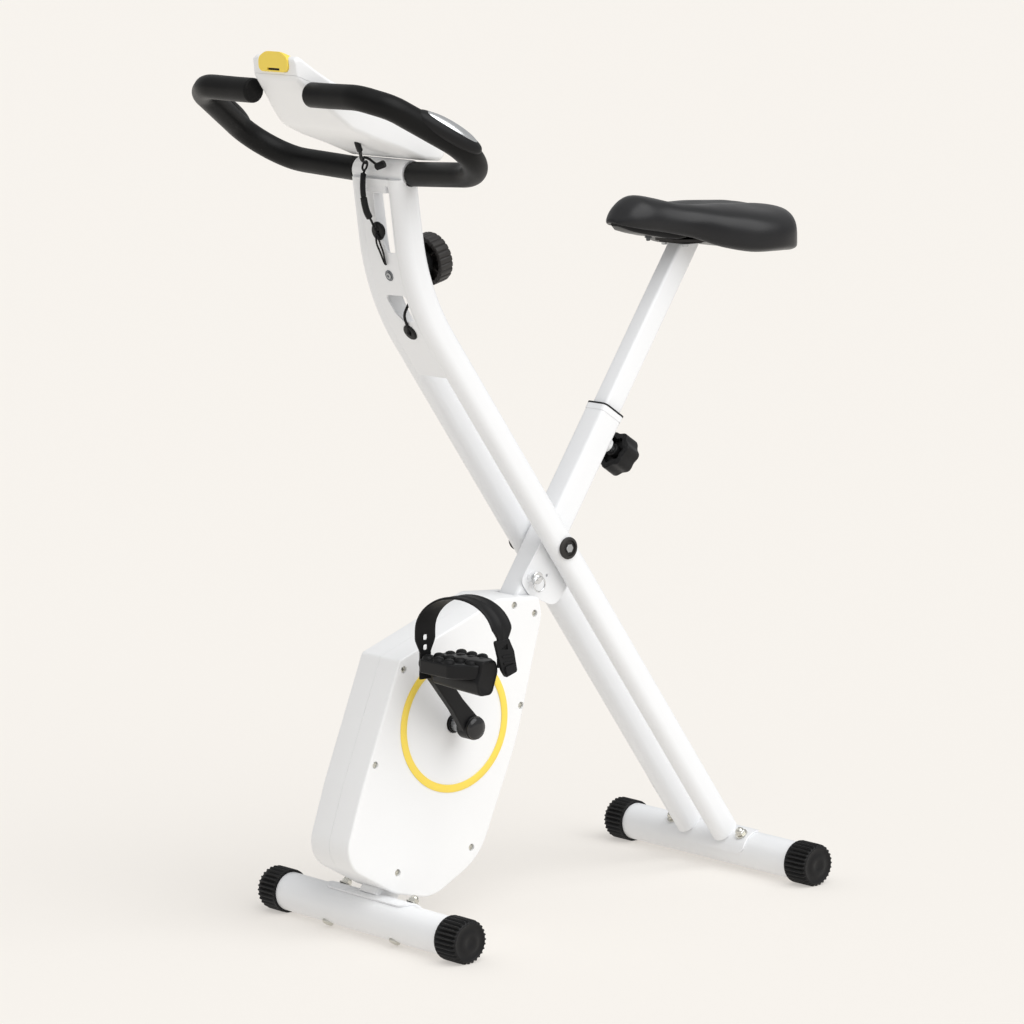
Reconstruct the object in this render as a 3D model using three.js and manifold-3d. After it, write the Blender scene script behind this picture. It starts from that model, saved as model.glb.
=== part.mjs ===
// Folding upright exercise bike with an X frame, as an assembly of separate parts.
// Millimetres, +Z up, front of the bike toward -Y, the rider's left toward +X, floor at z = 0.
// The frame is drawn with y = 0 at the front stabiliser's axis and moved at the end, so that the
// origin lies at the centre of the footprint.
import * as THREE from 'three';
import { mergeVertices } from 'three/addons/utils/BufferGeometryUtils.js';
import Module from 'manifold-3d';

const wasm = await Module();
wasm.setup();

// ---------- driving dimensions ----------
const GAP = 0.3;                  // clearance between touching parts
const WHEELBASE = 669;            // front to rear stabiliser axis
const FOOT_R = 31.5;              // end cap radius
const FOOT_LENGTH = 40;
const FOOT_FLAT = 0.8;            // depth of the flat on the underside of a cap
const STABILISER_LENGTH = 430;
const STABILISER_R = 27.5;
const PIVOT = [324, 518];         // fold axis (y, z)
const LEG_WIDTH = 40;
const LEG_DEPTH = 43;
const LEG_WALL = 2;
const LEG_TOP = 217;              // pivot to collar, along the leg
const POST_WIDTH = 30;
const POST_DEPTH = 34;
const TUBE_DEPTH = 42;            // side tube, in the side plane
const TUBE_WIDTH = 30;            // side tube, across the bike
const TUBE_X = 38;                // side tube centre plane
const TUBE_BEND_Z = 830;          // where the side tubes start to bend upright
const TUBE_BEND_R = 328;
const TUBE_TOP_TILT = 8;          // degrees
const SLEEVE = [39, 1063.5];      // handlebar sleeve axis (y, z)
const SLEEVE_R = 18.5;
const SLEEVE_HALF = 53;
const BAR_R = 12.7;
const FOAM_R = 16.9;
const LOOP_TILT = 34;             // handlebar loop plane, degrees above level toward the front
const CRANK = [121, 291.5];       // crank axis (y, z)
const CRANK_LENGTH = 127;
const CRANK_TILT = 37.6;          // left crank at rest, degrees forward of straight up
const SHROUD_HALF = 42;
const SHROUD_WALL = 2.5;
const RING_OUTER = 98;
const RING_INNER = 87;
const FLYWHEEL = [10, 158];       // flywheel axis (y, z)
const FLYWHEEL_R = 66;
const PULLEY_R = 72;
const SMALL_PULLEY_R = 14;
const FOOTPRINT_CENTRE = 304.575;    // y of the centre of the whole object's box

// ---------- materials ----------
const finish = (color, roughness, metalness) =>
  new THREE.MeshStandardMaterial({ color, roughness, metalness });
const white_paint = finish(0xf3f4f6, 0.35, 0);
const white_plastic = finish(0xf4f4f4, 0.45, 0);
const black_plastic = finish(0x1b1c1d, 0.5, 0);
const black_foam = finish(0x161616, 0.85, 0);
const black_vinyl = finish(0x222224, 0.55, 0);
const black_rubber = finish(0x151516, 0.75, 0);
const yellow_plastic = finish(0xf2cf4a, 0.45, 0);
const steel = finish(0xb9bcbe, 0.3, 1);
const zinc = finish(0xc9c5b4, 0.35, 1);
const chrome = finish(0xd5d7d9, 0.12, 1);
const cast_iron = finish(0x4a4d50, 0.5, 1);
const magnet_grey = finish(0x5a5c60, 0.4, 0.8);
const lens_black = finish(0x0c0d0f, 0.15, 0);

// ---------- helpers ----------
const X = new THREE.Vector3(1, 0, 0);
const rad = (degrees) => degrees * Math.PI / 180;
const bike = new THREE.Group();

// The assembly's only way to gain a part.
function part(name, geometry, material) {
  const mesh = new THREE.Mesh(geometry, material);
  mesh.name = name;
  bike.add(mesh);
}

// A closed geometry as a solid.
function solid(geometry) {
  const bare = geometry.clone();
  bare.deleteAttribute('normal');
  bare.deleteAttribute('uv');
  const merged = mergeVertices(bare, 1e-4);
  return new wasm.Manifold(new wasm.Mesh({
    numProp: 3,
    vertProperties: merged.attributes.position.array,
    triVerts: new Uint32Array(merged.index.array),
  }));
}

// A solid as a geometry again.
function shape(manifold) {
  const mesh = manifold.getMesh();
  const geometry = new THREE.BufferGeometry();
  geometry.setAttribute('position', new THREE.BufferAttribute(mesh.vertProperties, 3));
  geometry.setIndex(new THREE.BufferAttribute(mesh.triVerts, 1));
  geometry.computeVertexNormals();
  return geometry;
}

// The first geometry joined with some others, or less some others.
const join = (first, ...others) => shape(others.reduce((sum, g) => sum.add(solid(g)), solid(first)));
const cut = (first, ...others) => shape(others.reduce((rest, g) => rest.subtract(solid(g)), solid(first)));
const common = (first, second) => shape(solid(first).intersect(solid(second)));

const box = (x0, x1, y0, y1, z0, z1) =>
  new THREE.BoxGeometry(x1 - x0, y1 - y0, z1 - z0).translate((x0 + x1) / 2, (y0 + y1) / 2, (z0 + z1) / 2);

// A cylinder between two points.
function rod(from, to, r, sides = 16, rTo = r) {
  const a = new THREE.Vector3(...from);
  const b = new THREE.Vector3(...to);
  const along = b.clone().sub(a);
  const upright = new THREE.Vector3(0, 1, 0);
  const turn = new THREE.Quaternion().setFromUnitVectors(upright, along.clone().normalize());
  return new THREE.CylinderGeometry(rTo, r, along.length(), sides)
    .applyQuaternion(turn).translate(...a.lerp(b, 0.5).toArray());
}

// A cylinder along X.
const rodX = (x0, x1, [y, z], r, sides = 16) => rod([x0, y, z], [x1, y, z], r, sides);

// A ring along X.
const ringX = (x0, x1, at, r, bore, sides = 24) =>
  cut(rodX(x0, x1, at, r, sides), rodX(x0 - 1, x1 + 1, at, bore, sides));

// A closed outline through corners [u, v, radius], each corner rounded by an arc in a few steps.
function rounded(corners, steps = 4) {
  const points = [];
  corners.forEach(([u, v, radius = 0], i) => {
    const here = new THREE.Vector2(u, v);
    const before = new THREE.Vector2(...corners.at(i - 1).slice(0, 2)).sub(here).normalize();
    const after = new THREE.Vector2(...corners[(i + 1) % corners.length].slice(0, 2)).sub(here).normalize();
    if (!radius) {
      points.push(here);
      return;
    }
    const half = Math.acos(THREE.MathUtils.clamp(before.dot(after), -1, 1)) / 2;
    const reach = radius / Math.tan(half);
    const start = here.clone().addScaledVector(before, reach);
    const end = here.clone().addScaledVector(after, reach);
    const bisector = before.clone().add(after).normalize();
    const centre = here.clone().addScaledVector(bisector, radius / Math.sin(half));
    const a0 = Math.atan2(start.y - centre.y, start.x - centre.x);
    let sweep = Math.atan2(end.y - centre.y, end.x - centre.x) - a0;
    if (sweep > Math.PI) sweep -= 2 * Math.PI;
    if (sweep < -Math.PI) sweep += 2 * Math.PI;
    for (let k = 0; k <= steps; k += 1) {
      const a = a0 + sweep * k / steps;
      points.push(new THREE.Vector2(centre.x + radius * Math.cos(a), centre.y + radius * Math.sin(a)));
    }
  });
  return points;
}

// The same outline moved inward by a distance, for outlines that run counter-clockwise.
function inset(points, distance) {
  return points.map((p, i) => {
    const before = p.clone().sub(points.at(i - 1)).normalize();
    const after = points[(i + 1) % points.length].clone().sub(p).normalize();
    const inward = new THREE.Vector2(-before.y - after.y, before.x + after.x).normalize();
    const spread = Math.max(0.3, -inward.x * after.y + inward.y * after.x);
    return p.clone().addScaledVector(inward, distance / spread);
  });
}

// A side-view outline in (y, z), made solid between two planes x0 and x1, with rounded long edges.
function slab(points, x0, x1, edge = 0, edgeSteps = 2) {
  const geometry = new THREE.ExtrudeGeometry(new THREE.Shape(points), {
    depth: x1 - x0 - 2 * edge,
    steps: 1,
    bevelEnabled: edge > 0,
    bevelThickness: edge,
    bevelSize: edge,
    bevelOffset: -edge,
    bevelSegments: edgeSteps,
  });
  const turn = new THREE.Matrix4().makeBasis(new THREE.Vector3(0, 1, 0), new THREE.Vector3(0, 0, 1), X);
  return geometry.applyMatrix4(turn).translate(x0 + edge, 0, 0);
}

// A plan-view outline in (x, y), made solid between two heights.
const plate = (points, z0, z1) =>
  new THREE.ExtrudeGeometry(new THREE.Shape(points), { depth: z1 - z0, steps: 1, bevelEnabled: false })
    .translate(0, 0, z0);

// A frame along a straight member: turns local (x, across, along) into the bike's axes.
function alongLine([y, z], tilt) {
  const up = new THREE.Vector3(0, Math.sin(rad(tilt)), Math.cos(rad(tilt)));
  const back = new THREE.Vector3(0, Math.cos(rad(tilt)), -Math.sin(rad(tilt)));
  const m = new THREE.Matrix4().makeBasis(X, back, up).setPosition(0, y, z);
  return (geometry) => geometry.applyMatrix4(m);
}

// A point given in such a member's (across, along), as (y, z).
const onLine = ([y, z], tilt, across, along) => [
  y + along * Math.sin(rad(tilt)) + across * Math.cos(rad(tilt)),
  z + along * Math.cos(rad(tilt)) - across * Math.sin(rad(tilt)),
];

const circle = (r, sides = 16) => new THREE.Shape(
  Array.from({ length: sides }, (_, i) => {
    const a = 2 * Math.PI * i / sides;
    return new THREE.Vector2(r * Math.cos(a), r * Math.sin(a));
  }),
);

// A bent bar through points, with a section swept along it.
function sweep(points, section, steps) {
  const path = new THREE.CatmullRomCurve3(points.map((p) => new THREE.Vector3(...p)), false, 'centripetal');
  return new THREE.ExtrudeGeometry(section, { steps, extrudePath: path, bevelEnabled: false });
}

const mirror = (geometry) => shape(solid(geometry).mirror([1, 0, 0]));

// ---------- frame lines ----------
const AXIS_Z = FOOT_R - FOOT_FLAT;
const FRONT_AXIS = [0, AXIS_Z];
const REAR_AXIS = [WHEELBASE, AXIS_Z];
const LEG_TILT = THREE.MathUtils.radToDeg(Math.atan2(PIVOT[0] - FRONT_AXIS[0], PIVOT[1] - FRONT_AXIS[1]));
const TUBE_TILT = THREE.MathUtils.radToDeg(Math.atan2(REAR_AXIS[0] - PIVOT[0], PIVOT[1] - REAR_AXIS[1]));
const onLeg = (across, along) => onLine(PIVOT, LEG_TILT, across, along);
const legFrame = alongLine(PIVOT, LEG_TILT);
const LEG_BOTTOM = -Math.hypot(PIVOT[0], PIVOT[1] - AXIS_Z) + 15;
const SADDLE_R = STABILISER_R + GAP;
const BOLT_X = 73;

// ---------- stabilisers ----------
function stabiliser(axis, tilt) {
  const half = STABILISER_LENGTH / 2 - 6;
  return cut(
    rodX(-half, half, axis, STABILISER_R, 20),
    rodX(-half - 1, half + 1, axis, STABILISER_R - 2, 16),
    boltHole(axis, tilt, 1),
    boltHole(axis, tilt, -1),
  );
}

// End cap: a cup over the tube's end, with a flat on its underside to stand on.
function foot([y, z], side) {
  const end = STABILISER_LENGTH / 2;
  const whole = cut(
    rodX(end - FOOT_LENGTH, end, [y, z], FOOT_R, 32),
    rodX(end - FOOT_LENGTH - 1, end - 5.5, [y, z], STABILISER_R + GAP, 20),
    box(end - FOOT_LENGTH - 5, end + 5, y - 40, y + 40, -10, 0),
  );
  return side > 0 ? whole : mirror(whole);
}

// Curved saddle bracket over a stabiliser, centred on the member that rises from it.
function saddleBracket([y, z], tilt) {
  const HALF_WIDTH = 88;
  const THICK = 3;
  const WRAP = 58;
  const arc = (r, from, to) => Array.from({ length: 9 }, (_, i) => {
    const a = rad(90 - tilt + from + (to - from) * i / 8);
    return new THREE.Vector2(y + r * Math.cos(a), z + r * Math.sin(a));
  });
  const outline = [...arc(SADDLE_R + THICK, -WRAP, WRAP), ...arc(SADDLE_R, WRAP, -WRAP)];
  return cut(slab(outline, -HALF_WIDTH, HALF_WIDTH), boltHole([y, z], tilt, 1), boltHole([y, z], tilt, -1));
}

// Carriage bolt through a stabiliser, parallel to the member above it, with a washer and a dome nut.
function stabiliserBolt([y, z], tilt, side) {
  const frame = alongLine([y, z], tilt);
  const x = side * BOLT_X;
  const outside = SADDLE_R + 3 + GAP;
  const stem = rod([x, 0, -STABILISER_R - 1.5], [x, 0, outside + 7], 4, 6);
  const head = rod([x, 0, -STABILISER_R - 4], [x, 0, -STABILISER_R - GAP], 7, 8, 9);
  const washer = rod([x, 0, outside], [x, 0, outside + 1.5], 9, 8);
  const nut = rod([x, 0, outside + 1.5], [x, 0, outside + 7], 7.2, 6);
  const dome = rod([x, 0, outside + 6], [x, 0, outside + 12], 5.8, 8, 3);
  return frame(join(stem, head, washer, nut, dome));
}

// The hole for such a bolt.
const boltHole = ([y, z], tilt, side) => alongLine([y, z], tilt)(
  rod([side * BOLT_X, 0, -50], [side * BOLT_X, 0, 50], 4.5 + GAP, 8),
);

part('front_bolt_left', stabiliserBolt(FRONT_AXIS, LEG_TILT, 1), zinc);
part('front_bolt_right', stabiliserBolt(FRONT_AXIS, LEG_TILT, -1), zinc);
part('rear_bolt_left', stabiliserBolt(REAR_AXIS, -TUBE_TILT, 1), zinc);
part('rear_bolt_right', stabiliserBolt(REAR_AXIS, -TUBE_TILT, -1), zinc);
part('front_stabiliser', stabiliser(FRONT_AXIS, LEG_TILT), white_paint);
part('rear_stabiliser', stabiliser(REAR_AXIS, -TUBE_TILT), white_paint);
part('front_foot_left', foot(FRONT_AXIS, 1), black_plastic);
part('front_foot_right', foot(FRONT_AXIS, -1), black_plastic);
part('rear_foot_left', foot(REAR_AXIS, 1), black_plastic);
part('rear_foot_right', foot(REAR_AXIS, -1), black_plastic);

// ---------- seat leg: square tube, saddle bracket, crank shell and flywheel plates, welded ----------
const SEAT_PIN = 176;             // seat pin, along the leg from the pivot
const PIN_R = 5;
const SHELL_R = 18;
const SHELL_HALF = 22;
const LOCK_PIN = onLine(PIVOT, LEG_TILT, -13, -57);
const LOCK_PIN_R = 4;
const INNER_X = TUBE_X - TUBE_WIDTH / 2 - GAP;    // the side tubes' inner faces, less a gap

// A square section of the leg, in the leg's own (x, across, along).
const legBar = (width, depth, from, to) =>
  legFrame(box(-width / 2, width / 2, -depth / 2, depth / 2, from, to));

function seatLeg() {
  const tube = legBar(LEG_WIDTH, LEG_DEPTH, LEG_BOTTOM, LEG_TOP);
  const bore = legBar(LEG_WIDTH - 2 * LEG_WALL, LEG_DEPTH - 2 * LEG_WALL, LEG_BOTTOM - 5, LEG_TOP + 5);
  const [shellY, shellZ] = CRANK;
  const web = slab([
    new THREE.Vector2(shellY - 8, shellZ - 16),
    new THREE.Vector2(...onLeg(-LEG_DEPTH / 2 + 1, -300)),
    new THREE.Vector2(...onLeg(-LEG_DEPTH / 2 + 1, -235)),
    new THREE.Vector2(shellY - 2, shellZ + 17),
  ], -14, 14);
  const shell = rodX(-SHELL_HALF, SHELL_HALF, CRANK, SHELL_R, 16);
  const forkOutline = [
    new THREE.Vector2(...onLeg(-LEG_DEPTH / 2 + 1, -470)),
    new THREE.Vector2(...onLeg(-LEG_DEPTH / 2 + 1, -395)),
    new THREE.Vector2(FLYWHEEL[0] - 4, FLYWHEEL[1] + 13),
    new THREE.Vector2(FLYWHEEL[0] - 13, FLYWHEEL[1]),
    new THREE.Vector2(FLYWHEEL[0] - 2, FLYWHEEL[1] - 13),
  ];
  const forks = [slab(forkOutline, -17, -14), slab(forkOutline, 14, 17)];
  const pinLine = (out) => [0, ...onLeg(LEG_DEPTH / 2 + out, SEAT_PIN)];
  const alongPin = (from, to, r, sides) => rod(pinLine(from), pinLine(to), r, sides);
  const boss = alongPin(-1, 12, 11, 12);
  const pinBore = alongPin(-6, 20, PIN_R + GAP, 10);
  const spacer = rodX(-INNER_X, -LEG_WIDTH / 2 + 1, PIVOT, 14, 12);
  const stabiliserRoom = rodX(-100, 100, FRONT_AXIS, SADDLE_R + 0.2, 32);
  const frame = cut(join(tube, web, boss, spacer, ...forks), bore, stabiliserRoom);
  return cut(
    join(frame, shell, saddleBracket(FRONT_AXIS, LEG_TILT)),
    rodX(-SHELL_HALF - 1, SHELL_HALF + 1, CRANK, 14.6, 14),
    rodX(-18, 18, FLYWHEEL, 5.3 + GAP, 10),
    pinBore,
    rodX(-25, 25, PIVOT, 6.2 + GAP, 12),
    rodX(15, 25, LOCK_PIN, LOCK_PIN_R + GAP, 10),
  );
}
part('seat_leg', seatLeg(), white_paint);

// Plastic sleeve with a thin rim, pressed into the leg's top.
const INSIDE = 2 * LEG_WALL + 2 * GAP;
const collar = cut(
  join(
    legBar(LEG_WIDTH - INSIDE, LEG_DEPTH - INSIDE, LEG_TOP - 28, LEG_TOP + 1),
    legBar(LEG_WIDTH + 2, LEG_DEPTH + 2, LEG_TOP + GAP, LEG_TOP + 3),
  ),
  legBar(POST_WIDTH + 2 * GAP, POST_DEPTH + 2 * GAP, LEG_TOP - 40, LEG_TOP + 10),
);
part('leg_collar', collar, black_plastic);

// ---------- seat post, saddle ----------
const POST_FROM = 122;            // lower end, along the leg from the pivot
const POST_TO = 494;
const HOLE_PITCH = 25;
const SADDLE_PLATE_Z = 934;        // underside of the saddle's base

function seatPost() {
  const outer = legBar(POST_WIDTH, POST_DEPTH, POST_FROM, POST_TO);
  const inner = legBar(POST_WIDTH - 4, POST_DEPTH - 4, POST_FROM - 5, POST_TO + 5);
  const holes = [];
  for (let k = -1; k < 5; k += 1) {
    const along = SEAT_PIN + k * HOLE_PITCH;
    const from = [0, ...onLeg(POST_DEPTH / 2 - 6, along)];
    const to = [0, ...onLeg(POST_DEPTH / 2 + 6, along)];
    holes.push(rod(from, to, PIN_R + 0.3 + GAP, 8));
  }
  const plateTop = SADDLE_PLATE_Z - GAP;
  const flat = box(-30, 30, 572, 645, plateTop - 3, plateTop);
  const above = box(-60, 60, 400, 800, plateTop, 1100);
  return cut(join(cut(outer, inner, above), flat), ...holes);
}
part('seat_post', seatPost(), white_paint);

// Saddle stations from nose to tail: [y, half width, top, underside].
const SADDLE = [
  [455, 10, 975, 967],
  [462, 20, 984, 962],
  [476, 32, 998, 956],
  [497, 38, 1004, 950],
  [530, 44, 999, 945],
  [565, 60, 990, 938],
  [600, 88, 986, 924],
  [640, 112, 985, 915],
  [680, 119, 983, 914],
  [715, 112, 980, 914],
  [740, 90, 976, 915],
  [757, 62, 970, 917],
  [768, 34, 960, 920],
];

// A loft of closed rings of points, each ring [x, y, z] in the same order, with flat ends.
function loft(rings) {
  const sides = rings[0].length;
  const positions = rings.flat(2);
  const index = [];
  for (let i = 0; i + 1 < rings.length; i += 1) {
    for (let j = 0; j < sides; j += 1) {
      const a = i * sides + j;
      const b = i * sides + (j + 1) % sides;
      index.push(a, b, b + sides, a, b + sides, a + sides);
    }
  }
  const last = (rings.length - 1) * sides;
  for (let j = 1; j + 1 < sides; j += 1) {
    index.push(0, j + 1, j, last, last + j, last + j + 1);
  }
  const geometry = new THREE.BufferGeometry();
  geometry.setAttribute('position', new THREE.Float32BufferAttribute(positions, 3));
  geometry.setIndex(index);
  geometry.computeVertexNormals();
  return geometry;
}

function saddleCushion() {
  const SIDES = 18;
  const squarish = (v) => Math.sign(v) * Math.abs(v) ** 0.62;
  return loft(SADDLE.map(([y, half, top, underside]) => {
    const middle = (top + underside) / 2;
    const tall = (top - underside) / 2;
    return Array.from({ length: SIDES }, (_, j) => {
      const a = -2 * Math.PI * j / SIDES;
      return [half * squarish(Math.cos(a)), y, middle + tall * squarish(Math.sin(a))];
    });
  }));
}

// Plastic base in the cushion's hollow underside.
const BASE_THICK = 4;
const baseOutline = rounded([
  [-22, 560, 12], [22, 560, 12], [86, 640, 40], [86, 700, 50],
  [40, 744, 30], [-40, 744, 30], [-86, 700, 50], [-86, 640, 40],
], 2);
const saddleBase = plate(baseOutline, SADDLE_PLATE_Z, SADDLE_PLATE_Z + BASE_THICK);
const hollow = plate(inset(baseOutline, -2), 800, SADDLE_PLATE_Z + BASE_THICK + GAP);
part('saddle', cut(saddleCushion(), hollow), black_vinyl);
part('saddle_base', saddleBase, black_plastic);

// ---------- seat pin and its knob ----------
const pinAt = (across) => [0, ...onLeg(across, SEAT_PIN)];
const PIN_TIP = POST_DEPTH / 2 + GAP;
const seatPin = rod(pinAt(PIN_TIP), pinAt(LEG_DEPTH / 2 + 30), PIN_R, 10);
part('seat_pin', seatPin, steel);

// Lobed knob: a disc with hollows between its lobes.
function lobedKnob(from, to, r, lobes, hollow) {
  const SIDES = 30;
  const points = Array.from({ length: SIDES }, (_, i) => {
    const a = 2 * Math.PI * i / SIDES;
    const reach = r - hollow * (0.5 - 0.5 * Math.cos(lobes * a));
    return new THREE.Vector2(reach * Math.cos(a), reach * Math.sin(a));
  });
  const height = new THREE.Vector3(...to).distanceTo(new THREE.Vector3(...from));
  const body = new THREE.ExtrudeGeometry(new THREE.Shape(points), {
    depth: height - 6,
    steps: 1,
    bevelThickness: 3,
    bevelSize: 3,
    bevelOffset: -3,
    bevelSegments: 1,
  }).translate(0, 0, 3);
  const axis = new THREE.Vector3(...to).sub(new THREE.Vector3(...from)).normalize();
  const turn = new THREE.Quaternion().setFromUnitVectors(new THREE.Vector3(0, 0, 1), axis);
  return body.applyQuaternion(turn).translate(...from);
}
const seatKnob = cut(
  lobedKnob(pinAt(LEG_DEPTH / 2 + 22), pinAt(LEG_DEPTH / 2 + 51), 30, 5, 4),
  rod(pinAt(LEG_DEPTH / 2 + 20), pinAt(LEG_DEPTH / 2 + 30 + GAP), PIN_R + 0.3 + GAP, 10),
);
part('seat_knob', seatKnob, black_plastic);

// ---------- shroud ----------
const LOCK_SWEEP = 125;           // reach of the fold lock's plate down the leg, as the frame folds
const shroudOutline = rounded([
  [23, 393, 8], [-45, 222, 240], [-80, 118, 44], [14, 64, 60], [80, 47, 60], [168, 92, 95], [238, 250, 500],
  [286, 425, 30], [280, 452, 8], [205, 458, 30],
], 3);

function shroudHalf(side) {
  const outer = slab(shroudOutline, -SHROUD_HALF, SHROUD_HALF, 4);
  const insideX = SHROUD_HALF - SHROUD_WALL;
  const inner = slab(inset(shroudOutline, SHROUD_WALL), -insideX, insideX);
  const legRoom = legBar(LEG_WIDTH + 2, LEG_DEPTH + 2, LEG_BOTTOM - 20, LEG_TOP);
  const lockRoom = legBar(2 * INNER_X + 1, LEG_DEPTH + 8, -LOCK_SWEEP, LEG_TOP);
  const saddleRoom = rodX(-100, 100, FRONT_AXIS, SADDLE_R + 4, 20);
  const leftHalf = [-GAP / 2, 100];
  const rightHalf = [-100, GAP / 2];
  const otherSide = box(...(side > 0 ? rightHalf : leftHalf), -200, 400, 0, 600);
  const crankHole = rodX(-60, 60, CRANK, 14, 16);
  return cut(outer, inner, legRoom, lockRoom, saddleRoom, otherSide, crankHole);
}
part('shroud_left', shroudHalf(1), white_plastic);
part('shroud_right', shroudHalf(-1), white_plastic);

const RING_THICK = 1.2;
const RING_X = SHROUD_HALF + GAP;
const ring = (x0, x1) => ringX(x0, x1, CRANK, RING_OUTER, RING_INNER, 36);
part('ring_left', ring(RING_X, RING_X + RING_THICK), yellow_plastic);
part('ring_right', ring(-RING_X - RING_THICK, -RING_X), yellow_plastic);

// ---------- crank set ----------
const AXLE_R = 8.5;
const ARM_X = [70, 84];           // crank arm, inner and outer face
const PULLEY_X = [-34, -24];

const bearing = (x0, x1) => ringX(x0, x1, CRANK, 14.2, AXLE_R + GAP, 12);
part('crank_bearing_left', bearing(11, 21.5), steel);
part('crank_bearing_right', bearing(-21.5, -11), steel);
part('crank_axle', rodX(-80, 80, CRANK, AXLE_R, 12), steel);

// Toothless belt pulley with a flat groove and lightening holes.
function beltPulley() {
  const rim = cut(
    rodX(PULLEY_X[0], PULLEY_X[1], CRANK, PULLEY_R, 30),
    rodX(PULLEY_X[0] - 1, PULLEY_X[0] + 3, CRANK, PULLEY_R - 8, 20),
    rodX(PULLEY_X[1] - 3, PULLEY_X[1] + 1, CRANK, PULLEY_R - 8, 20),
    rodX(PULLEY_X[0] - 1, PULLEY_X[1] + 1, CRANK, AXLE_R + 0.2 + GAP, 12),
  );
  const holes = Array.from({ length: 4 }, (_, i) => {
    const a = 2 * Math.PI * i / 4;
    return rodX(-50, 0, [CRANK[0] + 40 * Math.cos(a), CRANK[1] + 40 * Math.sin(a)], 13, 8);
  });
  return cut(rim, ...holes);
}
part('crank_pulley', beltPulley(), black_plastic);

// Drive belt: a flat loop round both pulleys, along the outer tangents.
function beltLoop() {
  const [cy, cz] = CRANK;
  const [fy, fz] = FLYWHEEL;
  const span = Math.hypot(cy - fy, cz - fz);
  const heading = Math.atan2(cz - fz, cy - fy);
  const lean = Math.acos((PULLEY_R - SMALL_PULLEY_R) / span);
  const arc = (y, z, r, from, to, steps) => Array.from({ length: steps + 1 }, (_, k) => {
    const a = from + (to - from) * k / steps;
    return new THREE.Vector2(y + r * Math.cos(a), z + r * Math.sin(a));
  });
  const wrap = Math.PI - lean;
  const loop = (extra) => [
    ...arc(cy, cz, PULLEY_R + extra, heading - wrap, heading + wrap, 16),
    ...arc(fy, fz, SMALL_PULLEY_R + extra, heading + wrap, heading + wrap + 2 * lean, 6),
  ];
  return cut(slab(loop(2.6), PULLEY_X[0] + 1, PULLEY_X[1] - 1), slab(loop(0.9), PULLEY_X[0], PULLEY_X[1]));
}
part('drive_belt', beltLoop(), black_rubber);

// Crank arm with its boss at the axle and the pedal's axle screwed into its far end.
const leftPedal = [
  CRANK[0] - CRANK_LENGTH * Math.sin(rad(CRANK_TILT)),
  CRANK[1] + CRANK_LENGTH * Math.cos(rad(CRANK_TILT)),
];
const rightPedal = [2 * CRANK[0] - leftPedal[0], 2 * CRANK[1] - leftPedal[1]];
const PEDAL_AXLE_R = 6;
const PEDAL_X = [103, 200];

function crankArm([y, z], side) {
  const reach = new THREE.Vector2(y - CRANK[0], z - CRANK[1]).normalize();
  const across = new THREE.Vector2(-reach.y, reach.x);
  const corner = (along, off) => new THREE.Vector2(...CRANK)
    .addScaledVector(reach, along).addScaledVector(across, off);
  const outline = [
    corner(0, -15), corner(45, -11.5), corner(CRANK_LENGTH, -11),
    corner(CRANK_LENGTH, 11), corner(45, 11.5), corner(0, 15),
  ];
  const blade = slab(outline, ...ARM_X);
  const arm = join(
    blade,
    rodX(ARM_X[0] - 5, ARM_X[1] + 4, CRANK, 17, 18),
    rodX(ARM_X[0], ARM_X[1] + 1, [y, z], 13, 16),
    rodX(ARM_X[1], PEDAL_X[1] - 12, [y, z], PEDAL_AXLE_R, 8),
    rodX(ARM_X[1], ARM_X[1] + 8, [y, z], 9, 6),
  );
  const fitted = cut(arm, rodX(ARM_X[0] - 10, 80 + GAP, CRANK, AXLE_R + 0.2 + GAP, 12));
  return side > 0 ? fitted : mirror(fitted);
}
part('crank_arm_left', crankArm(leftPedal, 1), black_plastic);
part('crank_arm_right', crankArm(rightPedal, -1), black_plastic);

const capProfile = [[0, 0], [15, 0], [15, 1.5], [11, 3], [0, 3.6]].map(([r, h]) => new THREE.Vector2(r, h));
function crankCap(side) {
  const face = ARM_X[1] + 4 + GAP;
  const cap = new THREE.LatheGeometry(capProfile, 16).rotateZ(-Math.PI / 2).translate(face, ...CRANK);
  return side > 0 ? cap : mirror(cap);
}
part('crank_cap_left', crankCap(1), black_plastic);
part('crank_cap_right', crankCap(-1), black_plastic);

// ---------- pedals ----------
// Platform with studs over a tall axle housing that ends in a rounded face.
function pedal([y, z], side) {
  const [inside, outside] = PEDAL_X;
  const platform = plate(rounded([
    [inside, y - 39, 4], [outside - 30, y - 39, 12], [outside - 2, y - 12, 8],
    [outside - 2, y + 14, 8], [outside - 30, y + 39, 12], [inside, y + 39, 4],
  ], 2), z - 7, z + 15);
  const housing = slab(rounded([
    [y + 15, z + 19, 5], [y - 15, z + 19, 5], [y - 19, z - 8, 12],
    [y - 5, z - 34, 11], [y + 15, z - 10, 12],
  ], 2), inside, outside + 2);
  const studs = [];
  for (let i = 0; i < 3; i += 1) {
    for (let j = 0; j < 2; j += 1) {
      const at = [inside + 18 + 26 * i, y - 22 + 44 * j];
      studs.push(rod([...at, z + 14], [...at, z + 20 + 5 * j], 9, 6, 7));
    }
  }
  const bore = rodX(inside - 5, outside - 12 + 1, [y, z], PEDAL_AXLE_R + GAP + 0.3, 10);
  const whole = cut(join(platform, housing, ...studs), bore);
  return side > 0 ? whole : mirror(whole);
}

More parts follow.
